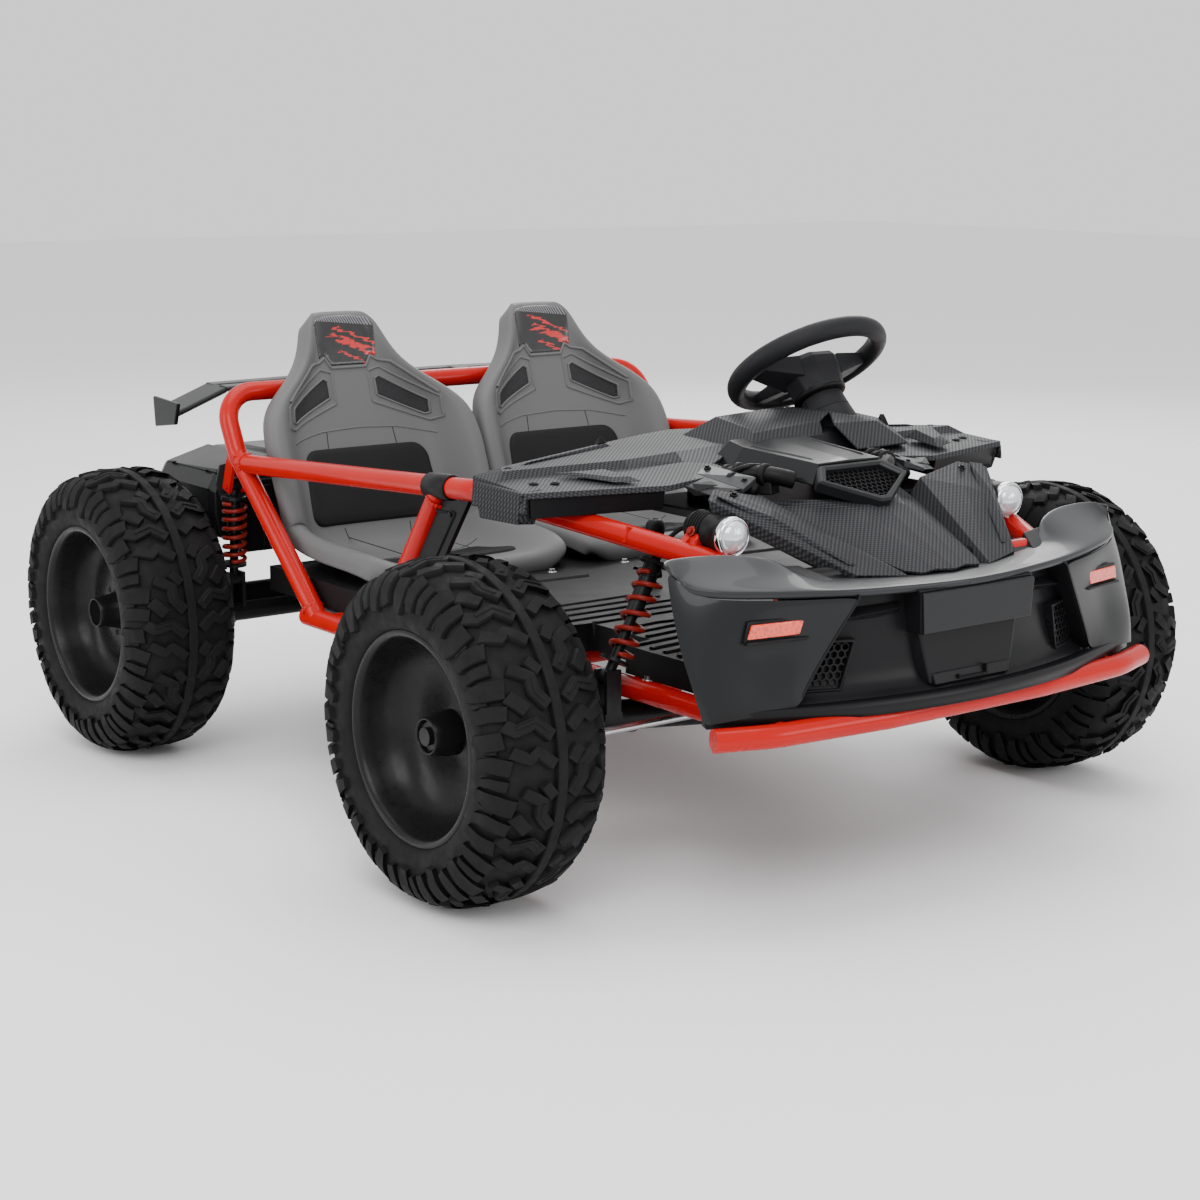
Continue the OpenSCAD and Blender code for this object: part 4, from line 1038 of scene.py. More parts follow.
def head_panel_material(centre_x):
    """Black film with slanting red streaks and a grey hatch across the top."""
    f = Finish("head panel film", (0.008, 0.008, 0.009), 0.28, specular=0.5, coat=0.3)
    split = f.node("ShaderNodeSeparateXYZ")
    f.wire(f.coord, split.inputs[0])
    x = f.math("ADD", split.outputs[0], -centre_x * MM)
    z = split.outputs[2]
    rough_edge = f.ramp(f.noise(
        120, 3, vector=f.stretched((0.35, 1, 2.2), (0, 0.5, 0))), 0.3, 0.7, -0.004, 0.004)
    slant = f.math("ADD", f.math("ADD", z, f.math("MULTIPLY", x, 0.42)), rough_edge)
    first = f.math("LESS_THAN", f.math("ABSOLUTE", f.math("ADD", slant, -0.5415)), 0.0058)
    second = f.math("LESS_THAN", f.math("ABSOLUTE", f.math("ADD", slant, -0.523)), 0.0016)
    third = f.math("LESS_THAN", f.math("ABSOLUTE", f.math("ADD", slant, -0.556)), 0.0018)
    streaks = f.math("MAXIMUM", first, f.math("MAXIMUM", second, third))
    broken = f.math("GREATER_THAN", f.noise(70, 4, vector=f.stretched((0.4, 1, 1.6), (0, 0.4, 0))), 0.40)
    right = f.math("GREATER_THAN", f.math("ADD", x, f.math("MULTIPLY", rough_edge, 4.0)), -0.014)
    red = f.blend(
        f.math("MULTIPLY", f.math("MULTIPLY", streaks, broken), right), (0.005, 0.005, 0.006),
        (0.50, 0.010, 0.010))
    top = f.math("GREATER_THAN", f.math("ADD", z, f.math("MULTIPLY", x, 0.10)), 0.5655)
    bars = f.math("GREATER_THAN", f.math("FRACT", f.math(
        "MULTIPLY", f.math("ADD", x, f.math("MULTIPLY", z, 0.4)), 260)), 0.45)
    hatch = f.math("MULTIPLY", top, bars)
    f.wire(f.blend(hatch, red, (0.16, 0.16, 0.17)), f.bsdf.inputs["Base Color"])
    f.vary_rough(f.noise(80, 4), 0.22, 0.36)
    return f.mat


def seat_pieces():
    pad = moulded("seat pad charcoal", (0.012, 0.012, 0.0125), 0.66, 1500, 0.35)
    for side, sign in (("left", 1), ("right", -1)):
        cx = sign * 166
        shell = seat_shell(f"seat_{side}_shell", cx)
        tree = tree_of(shell)
        back = caster(tree, at(cx, 300, 0), (1, 0, 0), (0, 0, 1), (0, 1, 0))
        top = caster(tree, at(cx, 0, 480), (1, 0, 0), (0, 1, 0), (0, 0, -1))
        thickened(shell, 4.5, -1)
        shell.data.polygons.foreach_set("use_smooth", [True] * len(shell.data.polygons))
        extras = [paint(shell, "seat")]
        for s in (-1, 1):
            frame_line = [
                (s * 29, 500), (s * 46, 505), (s * 119, 464), (s * 121, 436), (s * 107, 431), (s * 29, 459)]
            ring = shrunk(frame_line, 0)
            extras.append(groove_line(f"vent_edge{s}", ring + [ring[0]], back, 4.2, 1.6, "seat"))
            vent = [
                (s * 37, 489), (s * 44, 493), (s * 107, 459), (s * 108, 441), (s * 102, 439), (s * 37, 467)]
            extras += [
                groove_line(f"vent_rim{s}", vent + [vent[0]], back, 3.4, 2.2, "seat"),
                draped(f"vent_mesh{s}", shrunk(vent, 1.2), back, 0.7, "vent", edge=0.8, spacing=5),
            ]
        # the ridge that frames the head panel's notched foot and runs out over the vents
        ridge = [
            (-117, 470), (-62, 512), (-46, 514), (-36, 520), (-27, 506), (27, 506), (36, 520), (46, 514),
            (62, 512), (117, 470)]
        extras.append(groove_line("head_ridge", ridge, back, 4.6, 2.2, "seat"))
        # creases of the back and the cushion; the thin crease lines below the top one are painted near-black,
        # painted shade in the folds
        extras.append(groove_line(
            "crease_top", [(-112, 414), (-60, 424), (0, 427), (60, 424), (112, 414)], back, 2.6, 1.0,
            "seat"))
        for u in (-52, 52):
            extras += [
                groove_line(f"crease{u}", [(u, 424), (u * 1.04, 402)], back, 1.6, 0.4, "seat_crease_shade"),
                groove_line(
                    f"low_crease{u}", [(u, 298), (u * 0.96, 286), (u * 0.92, 276)], back, 1.6, 0.4,
                    "seat_crease_shade"),
            ]
        extras.append(groove_line(
            "cushion_crease", [(-110, 560), (-60, 570), (0, 572), (60, 570), (110, 560)], top, 2.2, 0.4,
            "seat_crease_shade"))
        finish_piece(joined(f"seat_{side}_bucket", extras), "chassis", "seat_grey", f"seat_{side}")
        head = [
            (-47, 565), (-40, 572), (-18, 575), (18, 575), (40, 572), (47, 565), (45, 519), (36, 523),
            (27, 509), (-27, 509), (-36, 523), (-45, 519)]
        film = draped(
            f"seat_{side}_head_panel", head, back, 1.3, head_panel_material(cx), edge=1.5, spacing=5)
        finish_piece(film, "chassis", "pad_dark")
        back_pad = [(u, 352 + v) for u, v in rounded_rect(100, 50, 20, 5)]
        back_pad = [(u * (1.0 - (v - 352) * 0.0008), v) for u, v in back_pad]
        cushion = draped(f"seat_{side}_back_pad", back_pad, back, 4.2, pad, edge=4, spacing=7, crown=2.0)
        finish_piece(cushion, "chassis", "pad_dark", "seat_pads")
        base = [(u, 490 + v) for u, v in rounded_rect(96, 58, 22, 5)]
        cushion = draped(f"seat_{side}_cushion_pad", base, top, 4.2, pad, edge=4, spacing=7, crown=2.0)
        finish_piece(cushion, "chassis", "pad_dark")


# ---------- bodywork tools ----------
def skin_piece(name, corners, faces, material, wall=4.0, bevel=1.0, both=False):
    """A faceted panel from corners in millimetres, thickened inwards; both adds its mirror image."""
    bm = bmesh.new()
    for sign in (1, -1) if both else (1,):
        verts = [bm.verts.new(at(sign * x, y, z)) for x, y, z in corners]
        for face in faces:
            bm.faces.new([verts[i] for i in face])
    bmesh.ops.remove_doubles(bm, verts=bm.verts, dist=1e-5)
    bmesh.ops.recalc_face_normals(bm, faces=bm.faces)
    loose = set(bm.faces)
    while loose:
        island, edge = set(), [loose.pop()]
        while edge:
            face = edge.pop()
            island.add(face)
            near = {f for e in face.edges for f in e.link_faces if f in loose}
            loose -= near
            edge += near
        if sum(f.normal.z * f.calc_area() for f in island) < 0:
            bmesh.ops.reverse_faces(bm, faces=list(island))
    mesh = bpy.data.meshes.new(name)
    bm.to_mesh(mesh)
    bm.free()
    return paint(bevelled(thickened(link(name, mesh), wall), bevel, 2, 9), material)


def block(name, low, high, material, bevel=1.5, taper=0.0):
    """A box between two corners in millimetres, its top drawn in by taper."""
    (x0, y0, z0), (x1, y1, z1) = low, high
    points = [at(x, y, z) for z, t in ((z0, 0), (z1, taper))
              for x, y in ((x0 + t, y0 + t), (x1 - t, y0 + t), (x1 - t, y1 - t), (x0 + t, y1 - t))]
    return paint(hull_piece(name, points, bevel), material)


def both_ways(points):
    """Each point and its mirror image across the middle plane."""
    return [(side * x, y, z) for x, y, z in points for side in (-1, 1)]


def wedge(name, points, material, bevel=1.2, side=1):
    """The rounded hull of points in millimetres, on the given side."""
    return paint(hull_piece(name, [at(side * x, y, z) for x, y, z in points], bevel), material)


def pipe(name, path, radius, material, steps=12, side=1):
    """A round hose or rod through points in millimetres, on the given side."""
    line = [at(side * x, y, z) for x, y, z in path]
    if len(line) > 2:
        line = spline(line, 6)
    return paint(sweep(name, line, circle(radius, steps)), material)


def turned(name, profile, centre, axis, finish, steps=40):
    """A painted solid of revolution whose profile is left open at its ends."""
    return paint(lathe(name, profile, centre, axis, steps, closed=False), finish)


def bolt_head(name, place, axis, radius, material):
    """A hexagon head on a washer, standing on a point: millimetres in the row frame, or a Vector in metres."""
    foot = place if isinstance(place, Vector) else at(*place)
    axis = Vector(axis).normalized()
    side = axis.orthogonal()
    edge = [(-1, 0.01), (-1, radius * 1.45), (0.6, radius * 1.45), (1.0, radius * 1.3), (1.0, 0.01)]
    washer = lathe(name + "_washer", edge, foot, axis, 20, closed=False)
    turn = frame_of(foot + axis * MM, side, axis.cross(side))
    head = prism(name + "_head", circle(radius, 6), radius * 0.8, turn, 0.4, 1)
    return joined(name, [paint(washer, material), paint(head, material)])


def honeycomb(name, plane, outline, cell, wall, depth, material):
    """Hexagon mesh in a flat outline: ribs round every cell whose middle lies inside."""
    points, faces = [], []
    xs, ys = [p[0] for p in outline], [p[1] for p in outline]
    row, y = 0, min(ys)
    pitch = cell * math.sqrt(3)
    rings = ((cell * 1.01, -depth), (cell * 1.01, 0.0), (cell - wall / 2, 0.0), (cell - wall / 2, -depth))
    corners = [math.radians(60 * k + 30) for k in range(6)]
    while y < max(ys) + cell:
        x = min(xs) + (pitch / 2 if row % 2 else 0)
        while x < max(xs) + pitch:
            if inside((x, y), outline):
                faces += quads(4, 6, True, True, len(points))
                for radius, z in rings:
                    points += [plane @ (Vector((
                        x + radius * math.cos(a), y + radius * math.sin(a), z)) * MM) for a in corners]
            x += pitch
        y += cell * 1.5
        row += 1
    return paint(mesh_piece(name, points, faces, False), material)


def bezel(name, plane, rings, bevel, material):
    """A frame round an opening, from rings of (outline, height) in millimetres."""
    points = [plane @ (Vector((x, y, z)) * MM) for ring, z in rings for x, y in ring]
    faces = quads(len(rings), len(rings[0][0]), False, True)
    return paint(bevelled(mesh_piece(name, points, faces, False), bevel, 2), material)


# ---------- hood ----------
def hood_fins():
    """The two raised fins, each with a slanting inner wall and a step at its foot."""
    corners = [(124, -102, 428), (191, -99, 441), (218, -121, 435), (124, -257, 362), (63, -275, 358),
               (213, -124, 414), (120, -253, 350), (60, -271, 348), (113, -98, 408), (184, -86, 420),
               (150, -150, 421), (172, -173, 413)]
    faces = [(0, 1, 10), (0, 10, 4), (1, 2, 11, 10), (10, 11, 3, 4), (2, 5, 6, 3), (11, 2, 3), (0, 4, 7, 8),
             (1, 0, 8, 9), (2, 1, 9, 5)]
    fins = skin_piece("fin", corners, faces, "twill", 3.4, 1.0, both=True)
    parts = [fins]
    for s in (1, -1):
        parts.append(wedge(f"fin_under{s}", [
            (208, -124, 414), (118, -250, 351), (64, -264, 349), (116, -104, 410), (176, -96, 404),
            (96, -236, 338)], "body_dark", 1.0, side=s))
        # a long raised blade lies on the outer panel, with a black channel beside it
        parts += [
            wedge(f"fin_blade{s}", [
                (196, -112, 441.5), (209, -122, 439.5), (168, -176, 417.5), (122, -244, 371.5),
                (113, -246, 371), (120, -238, 366), (196, -116, 433)], "twill", 0.8, side=s),
            bolt_head(f"fin_bolt{s}", (s * 178, -118, 436.5), (0.1 * s, -0.35, 1), 3.2, "trim"),
        ]
    return parts


def hood_middle():
    """The sloping middle panel with its shallow centre ridge and side steps."""
    corners = [
        (0, -158, 420), (62, -122, 421), (104, -84, 419), (112, -112, 403), (58, -262, 361),
        (44, -278, 359.5), (0, -283, 360), (34, -170, 413), (24, -276, 361), (86, -100, 412)]
    faces = [(0, 1, 7), (0, 7, 8, 6), (7, 1, 9), (7, 9, 3, 4), (1, 2, 9), (9, 2, 3), (7, 4, 5, 8)]
    parts = [skin_piece("hood_mid", corners, faces, "twill", 3.4, 1.0, both=True)]
    under = both_ways([(104, -88, 408), (50, -266, 348), (92, -92, 380), (40, -256, 336)])
    parts.append(wedge("hood_mid_under", under, "body_dark", 2))
    # black fillers close the gap between the lip and the front cross tube
    parts += [
        wedge("front_tube_cover", both_ways([
            (188, -262, 354), (188, -224, 369), (188, -258, 338), (188, -226, 338)]), "body_dark", 2),
        pipe("front_tube_sleeve", [(-177, -230, 355.9), (128, -230, 355.9)], 13.5, "body_dark", 36),
    ]
    for s in (1, -1):
        parts.append(wedge(f"lip_filler{s}", [
            (140, -284, 352), (226, -262, 356), (214, -214, 376), (176, -222, 374), (140, -270, 336),
            (220, -250, 336), (206, -214, 345), (150, -222, 345)], "body_dark", 2, side=s))
    return parts


def scoop_pieces():
    """The pointed air scoop: a chamfered frame round a hexagon mesh, and the smooth deck behind it."""
    slope = frame_of(at(0, -142, 441), (1, 0, 0), (0, 61, 34))
    ring_out = [(-50, 33), (50, 33), (69, 6), (8, -38), (-8, -38), (-69, 6)]
    ring_in = [(-41, 26), (41, 26), (57, 5), (5, -29), (-5, -29), (-57, 5)]
    rings = ((ring_out, -14), (ring_out, -2.5), ([(x * 0.965, y * 0.95) for x, y in ring_out], 0.5),
             ([(x * 1.05, y * 1.06) for x, y in ring_in], 0.5), (ring_in, -2.5), (ring_in, -14))
    rim = bezel("scoop_frame", slope, rings, 0.8, "body")
    opening = [(x * 1.02, y * 1.04) for x, y in ring_in]
    net_in = honeycomb(
        "scoop_mesh", slope @ Matrix.Translation((0, 0, -6 * MM)), opening, 4.4, 1.5, 3, "mesh")
    bed = prism("scoop_bed", ring_in, 2, slope @ Matrix.Translation((0, 0, -14 * MM)), 0)
    parts = [rim, net_in, paint(bed, "mesh")]
    # the deck slopes back from the scoop's top edge and its flanks fall to the bay
    deck = [
        (48, -112, 459), (58, 6, 466), (54, 36, 470), (0, 40, 471), (0, -112, 460), (62, -118, 437),
        (74, 8, 444), (72, 48, 446)]
    parts.append(skin_piece(
        "deck_top", deck, [(0, 1, 3, 4), (1, 2, 3), (0, 5, 6, 1), (1, 6, 7, 2)], "body", 3.0, 1.0,
        both=True))
    for s in (1, -1):
        parts.append(wedge(f"deck_rib{s}", [
            (38, -96, 460), (42, -96, 460), (51, 6, 466), (46, 8, 466), (39, -90, 462.5), (48, 0, 468)],
            "body", 0.8, side=s))
    return parts


def engine_pieces():
    """Dummy engine pipes, clamps and plates in the bays beside the deck."""
    parts = [block("bay_floor", (-186, -96, 402), (186, 52, 412), "body_dark", 2)]
    for s in (1, -1):
        parts += [
            pipe(f"runner_a{s}", [
                (70, -96, 440), (92, -78, 446), (104, -44, 444), (96, -6, 436)], 10, "trim", side=s),
            pipe(f"runner_b{s}", [
                (116, -84, 430), (126, -58, 438), (128, -24, 436), (112, 8, 428)], 8.5, "trim", side=s),
            pipe(f"hose{s}", [
                (86, -62, 452), (104, -60, 455), (120, -46, 447), (130, -40, 430)], 3.2, "body_dark", 8,
                side=s),
        ]
        for k, (x, y, z, r) in enumerate((
                (94, -74, 446, 13), (104, -40, 444, 13), (126, -54, 438, 11.5), (99, -14, 438, 13))):
            parts.append(ring_piece(
                f"clamp{s}{k}", at(s * x, y - 4, z), (0.25 * s, 1, 0), 8, r, 7, "trim", 1.5, 24))
        parts.append(wedge(f"valve_block{s}", [
            (74, -78, 424), (96, -88, 424), (112, -62, 424), (86, -50, 424), (78, -76, 446), (94, -82, 446),
            (104, -64, 446), (86, -54, 446)], "trim", 1.5, side=s))
        for k in range(4):
            parts.append(block(
                f"fin_plate{s}{k}", (min(s * 110, s * 138), -20 + k * 9, 412),
                (max(s * 110, s * 138), -16 + k * 9, 434), "trim", 0.8))
        # the smooth slanting plate, with dark facets on its outer side
        parts += [
            wedge(f"slant_plate{s}", [
                (152, -22, 446), (126, -8, 453), (116, -84, 446), (142, -92, 436), (152, -22, 440),
                (116, -84, 438), (126, -8, 445), (142, -92, 431)], "lip", 1.0, side=s),
            wedge(f"slant_facet{s}", [
                (152, -22, 446), (186, -38, 438), (176, -76, 430), (142, -90, 436), (152, -22, 430),
                (178, -50, 426)], "body_dark", 0.8, side=s),
            wedge(f"slant_tooth{s}", [
                (184, -52, 441), (160, -58, 443), (158, -70, 439), (184, -60, 433)], "body", 0.6, side=s),
            bolt_head(f"deck_bolt{s}", (s * 134, -20, 450.5), (0.2 * s, 0, 1), 3, "trim"),
            bolt_head(f"deck_bolt_low{s}", (s * 128, -78, 442.5), (0.2 * s, -0.2, 1), 3, "trim"),
        ]
    return parts


def beam_pieces():
    """The woven dash beam: a stepped plate with a long slot in each arm."""
    # per side: lower front shelf, raised back step, chamfers between, and the outer end wrapping the side rail
    corners = [
        (373, 2, 440), (209, -44, 440), (186, -40, 441), (196, 46, 447), (352, 66, 446), (370, 60, 444),
        (352, 74, 454), (196, 56, 456), (112, 64, 458), (120, 40, 449), (104, -34, 447), (330, 108, 453),
        (126, 178, 458), (52, 200, 460), (0, 216, 460), (0, 70, 461), (98, 12, 449), (371, 104, 447),
        (376, 0, 418), (376, 100, 414), (330, 112, 432), (126, 184, 434), (0, 222, 434), (209, -45.5, 434),
        (373, -0.5, 434), (184, -41, 435), (375, 60, 420), (104, -38, 424)]
    faces = [
        (0, 5, 4, 3, 1), (1, 3, 2), (2, 3, 9, 10), (3, 4, 6, 7), (9, 3, 7, 8), (4, 5, 17, 11, 6),
        (6, 11, 12, 7), (7, 12, 13, 8), (8, 13, 14, 15), (9, 8, 15, 16), (10, 9, 16), (5, 0, 18, 26),
        (17, 5, 26, 19), (11, 17, 19, 20), (12, 11, 20, 21), (13, 12, 21, 22, 14), (0, 1, 23, 24),
        (1, 2, 25, 23), (2, 10, 27, 25), (0, 24, 18)]
    parts = [skin_piece("beam_skin", corners, faces, "twill", 3.0, 1.2, both=True)]
    for s in (1, -1):
        # the long black slot under the front edge
        parts += [
            wedge(f"beam_slot{s}", [
                (366, 3, 436), (212, -42, 436), (212, -38, 413), (362, 6, 410), (352, 60, 432),
                (212, 40, 432), (350, 58, 416), (214, 36, 418)], "body_dark", 1.5, side=s),
            wedge(f"beam_wrap{s}", [
                (377, 2, 440), (345, 6, 442), (345, 100, 444), (376, 98, 442), (374, 14, 404),
                (350, 14, 402), (374, 88, 402), (350, 90, 402)], "twill", 2.5, side=s),
        ]
        for k, (x, y) in enumerate(((338, 34), (316, 24), (334, 88))):
            ring = [(0, 5.6), (0.9, 5.2), (1.2, 4.4), (0.9, 3.6), (-0.6, 3.2), (-0.6, 0.01)]
            z = 443.4 if y < 60 else 453.6
            parts.append(turned(f"beam_hole{s}{k}", ring, at(s * x, y, z), (0, 0, 1), "mesh", 20))
        parts += [
            wedge(f"beam_stud{s}", [
                (132, 170, 458), (148, 166, 458), (146, 178, 456), (134, 180, 456), (137, 172, 466),
                (143, 171, 466)], "trim", 1, side=s),
            wedge(f"beam_rib{s}", [
                (318, 92, 453), (140, 150, 457), (140, 158, 457), (318, 98, 453), (300, 96, 457.5),
                (150, 150, 461.5)], "twill", 1.0, side=s),
        ]
    return parts


def binnacle_pieces():
    """The raised block that carries the steering column, with chamfered sides."""
    left = [
        (8, 134, 484), (126, 152, 486), (130, 64, 488), (-20, 36, 480), (-46, 2, 456), (92, 28, 462),
        (98, 44, 482), (-28, 24, 478), (-22, 172, 456), (130, 176, 458)]
    lefts = [(0, 3, 6, 2, 1), (3, 7, 6), (7, 4, 5, 6), (0, 8, 4, 7, 3), (1, 9, 8, 0)]
    parts = [skin_piece("binnacle_low", left, lefts, "twill", 3.0, 1.4)]
    right = [
        (136, 150, 486), (196, 132, 484), (222, 70, 474), (176, 26, 478), (104, 26, 480), (132, 64, 488),
        (204, -2, 452), (112, -10, 452), (252, 62, 452), (228, 140, 454), (140, 176, 456)]
    rights = [(0, 5, 3, 2, 1), (5, 4, 3), (4, 7, 6, 3), (3, 6, 8, 2), (2, 8, 9, 1), (1, 9, 10, 0)]
    parts += [
        skin_piece("binnacle_high", right, rights, "twill", 3.0, 1.4),
        wedge("binnacle_core", [
            (0, 120, 470), (200, 120, 470), (190, 30, 468), (-20, 26, 466), (-10, 160, 450),
            (210, 140, 450), (190, 10, 446), (-20, 10, 446)], "body_dark", 1),
        wedge("binnacle_hook", [
            (214, 66, 468), (226, 62, 466), (224, 52, 466), (214, 56, 468), (222, 60, 480), (218, 64, 480)],
            "trim", 1),
    ]
    # the far arm carries a second raised block on the other side of the column
    parts += [
        wedge("arm_block_right", [
            (238, 40, 452), (300, 52, 452), (262, -18, 448), (228, -30, 446), (246, 28, 462),
            (286, 38, 460), (258, -4, 456), (238, -12, 456)], "twill", 1.6),
        wedge("arm_block_left", [
            (-238, 40, 450), (-300, 52, 450), (-262, -14, 444), (-230, -26, 444), (-246, 28, 453),
            (-286, 38, 452), (-258, -4, 449), (-238, -12, 449)], "twill", 1.6),
    ]
    return parts


def hood_pieces():
    finish_piece(joined("hood_shell", hood_fins() + hood_middle()), "chassis", "carbon_weave", "hood")
    finish_piece(joined("scoop_assembly", scoop_pieces()), "chassis", "dark_plastic", "intake_scoop")
    finish_piece(joined("engine_dummy", engine_pieces()), "chassis", "black_plastic", "engine_cover")
    finish_piece(
        joined("dash_beam_shell", beam_pieces() + binnacle_pieces()), "chassis", "carbon_weave",
        "dash_beam")


# ---------- bumper ----------
BOW_R, BOW_Y = 616.0, 297.0


def bow(x, inset=0.0):
    """How far forward the bumper's bow stands at x, moved back by inset."""
    return BOW_Y - math.sqrt((BOW_R - inset) ** 2 - x * x)


def grid_piece(name, rows, material, wall=4.0, levels=2, outward=(0, -1, 0.3), both=True):
    """A smooth panel from rows of points in millimetres."""
    faces = quads(len(rows), len(rows[0]))
    made = []
    for sign in (1, -1) if both else (1,):
        obj = mesh_piece(name, [at(sign * x, y, z) for row in rows for x, y, z in row], faces)
        subdivided(obj, levels)
        out = Vector((outward[0] * sign, outward[1], outward[2]))
        if sum(p.normal.dot(out) * p.area for p in obj.data.polygons) < 0:
            obj.data.flip_normals()
        thickened(obj, wall)
        obj.data.set_sharp_from_angle(angle=math.radians(48))
        made.append(paint(obj, material))
    return made


def lip_pieces():
    """The bumper's upper lip: two sections that overlap at the middle and sweep up to the corners."""
    rear = [
        (-14, -262, 355), (30, -262, 355), (86, -257, 357), (150, -246, 361), (180, -238, 364),
        (196, -226, 376), (214, -212, 388), (262, -192, 392), (300, -184, 392), (326, -184, 392),
        (338, -192, 391), (342, -205, 389)]
    crest = [
        (-14, -317, 356), (30, -317, 356), (86, -311, 357), (150, -300, 358), (184, -291, 359),
        (206, -285, 360), (232, -276, 361), (270, -262, 363), (298, -248, 364), (316, -235, 366),
        (326, -224, 368), (331, -214, 371)]
    rows = []
    for r, c in zip(rear, crest):
        r, c = Vector(r), Vector(c)
        out = Vector((c.x, c.y - BOW_Y, 0)).normalized()
        mid = r.lerp(c, 0.5) + Vector((0, 0, 1.5 if r.z < 370 else -2.5))
        rows.append([
            r - Vector((0, 0, 6)), r + Vector((0, 0, -0.6)), r.lerp(c, 0.08), mid, c.lerp(r, 0.08),
            c + out * 0.6, c + out * 2.2 - Vector((0, 0, 1.5)), c + out * 2.4 - Vector((0, 0, 7.5)),
            c - out * 2 - Vector((0, 0, 9))])
    return grid_piece("lip", rows, "lip", 3.0, 2, (0, -0.3, 1))


def bumper_face():
    """The glossy outer panels between the mouth and the ends."""
    top = [
        (160, -302, 350), (200, -292, 351), (240, -278, 352), (285, -258, 354), (314, -239, 356),
        (330, -220, 364), (341, -205, 384)]
    rows = [
        top, [(164, -302, 343), (204, -292, 343), (243, -278, 344), (288, -259, 346), (318, -240, 349),
        (334, -222, 356), (343, -208, 372)], [(178, -297, 322), (216, -285, 322), (252, -271, 322),
        (290, -262, 323), (321, -248, 325), (337, -232, 332), (344, -216, 345)],
        [(200, -291, 288), (234, -280, 286), (264, -268, 285), (296, -262, 285), (325, -253, 286),
        (338, -244, 290), (344, -232, 300)], [(220, -286, 256), (250, -280, 253), (276, -273, 252),
        (302, -268, 252), (325, -261, 253), (336, -256, 256), (340, -248, 264)],
        [(227, -286, 238), (256, -283, 236), (280, -277, 235), (304, -271, 233), (322, -265, 231),
        (331, -261, 230), (335, -256, 232)]]
    parts = grid_piece("face", rows, "body", 4.0, 2, (0.5, -1, 0))
    # the mouth's return wall
    edge = [(158, -303, 352), (164, -302, 343), (178, -297.5, 322), (200, -291.5, 288), (220, -286.5, 256),
            (227, -286, 240)]
    wall = [[(x, y, z), (x - 1, y + 8, z), (x - 7, y + 30, z)] for x, y, z in edge]
    parts += grid_piece("mouth_wall", wall, "body_dark", 2.5, 1, (-1, 0, 0))
    return parts


def marker_pieces():
    """Parallelogram marker lenses in black wells with an under-lip."""
    made = []
    for sign in (1, -1):
        plane = frame_of(at(252, -272.5, 322.5), (66, 14, 0), (0, 0, 1))
        well = [(-50, 12.5), (33, 10.5), (38, -11.5), (-38, -11)]
        back = prism("marker_well", well, 3.4, plane @ Matrix.Translation((0, 0, -1.2 * MM)), 0.8)
        shelf = prism("marker_shelf", [(-38, -9.5), (36, -10), (38, -13.5), (-34, -12.5)], 7.5, plane, 1.0)
        lens = prism("marker_lens", [(-32, 8.2), (30, 7.4), (34.5, -7.6), (-27, -7)], 4.6, plane, 1.2, 3)
        parts = [paint(back, "body_dark"), paint(shelf, "body_dark")]
        for piece in parts + [paint(lens, "marker")]:
            if sign < 0:
                flip_side(piece)
        made.append((parts, lens))
    return made


def insert_pieces():
    """The black recessed wall of the mouth, its hexagon grilles, the plain plate block and the lower block."""
    xs = [-226, -200, -160, -110, -60, 0, 60, 110, 160, 200, 226]
    rows = [[(x, bow(x, 20) + dy, z) for x in xs] for z, dy in
            ((352, 6), (346, 4), (318, 2), (296, 0), (262, -2), (246, -8), (240, -20), (236, -23))]
    parts = grid_piece("mouth_back", rows, "body_dark", 3.0, 1, (0, -1, 0), both=False)
    for sign in (1, -1):
        slope = math.atan2(bow(215, 20) - bow(160, 20), 55)
        plane = frame_of(at(188, bow(188, 13), 275), (math.cos(slope), math.sin(slope), 0), (0, 0, 1))
        outer = [(-38, 27), (20, 29), (42, -27), (-22, -28)]
        rim = shrunk(outer, 3.2)
        rings = (
            (outer, -12), (outer, 1.5), (shrunk(outer, 0.8), 2.4), (shrunk(outer, 2.6), 2.4), (rim, 1.6),
            (rim, -8))
        edge = bezel("grille_bezel", plane, rings, 0.6, "body_dark")
        cells = honeycomb(
            "grille_cells", plane @ Matrix.Translation((0, 0, -1 * MM)), shrunk(outer, 2.0), 5.0, 2.2, 8,
            "body_dark")
        bed = paint(prism(
            "grille_bed", shrunk(outer, 1), 1.5, plane @ Matrix.Translation((0, 0, -10 * MM))), "mesh")
        parts += [flip_side(piece) if sign < 0 else piece for piece in (edge, cells, bed)]
        parts.append(wedge(f"mouth_brow{sign}", [
            (92, -296, 330), (172, -283, 324), (176, -270, 318), (92, -284, 318), (92, -290, 336),
            (150, -276, 334)], "body_dark", 1.5, side=sign))
    # plate block: side cheeks stand back from a plain face
    parts += [
        wedge("plate_core", both_ways([
            (83, -316, 302), (86, -317, 348), (80, -284, 300), (84, -286, 350)]), "body_dark", 2),
        wedge("plate_face", both_ways([
            (83, -320.5, 303), (86.5, -321, 347), (82, -314, 302), (85, -315, 348.5)]), "body", 1.4),
        wedge("plate_brow", both_ways([(88, -318, 350), (88, -300, 353), (86, -316, 346)]), "body_dark", 1),
        wedge("low_block", both_ways([
            (76, -306, 303), (62, -312, 243), (82, -282, 303), (72, -284, 240)]), "body_dark", 3),
        wedge("low_step", both_ways([
            (60, -312, 256), (58, -316, 243), (60, -300, 258), (58, -300, 240)]), "body_dark", 2),
    ]
    for x0, x1, z0, z1 in ((-22, 20, 246.5, 248.5), (18, 20.5, 246.5, 257), (-24, -21.5, 246.5, 251)):
        parts.append(block(f"low_slot{x0}", (x0, -318, z0), (x1, -312, z1), "mesh", 0.5))
    return parts


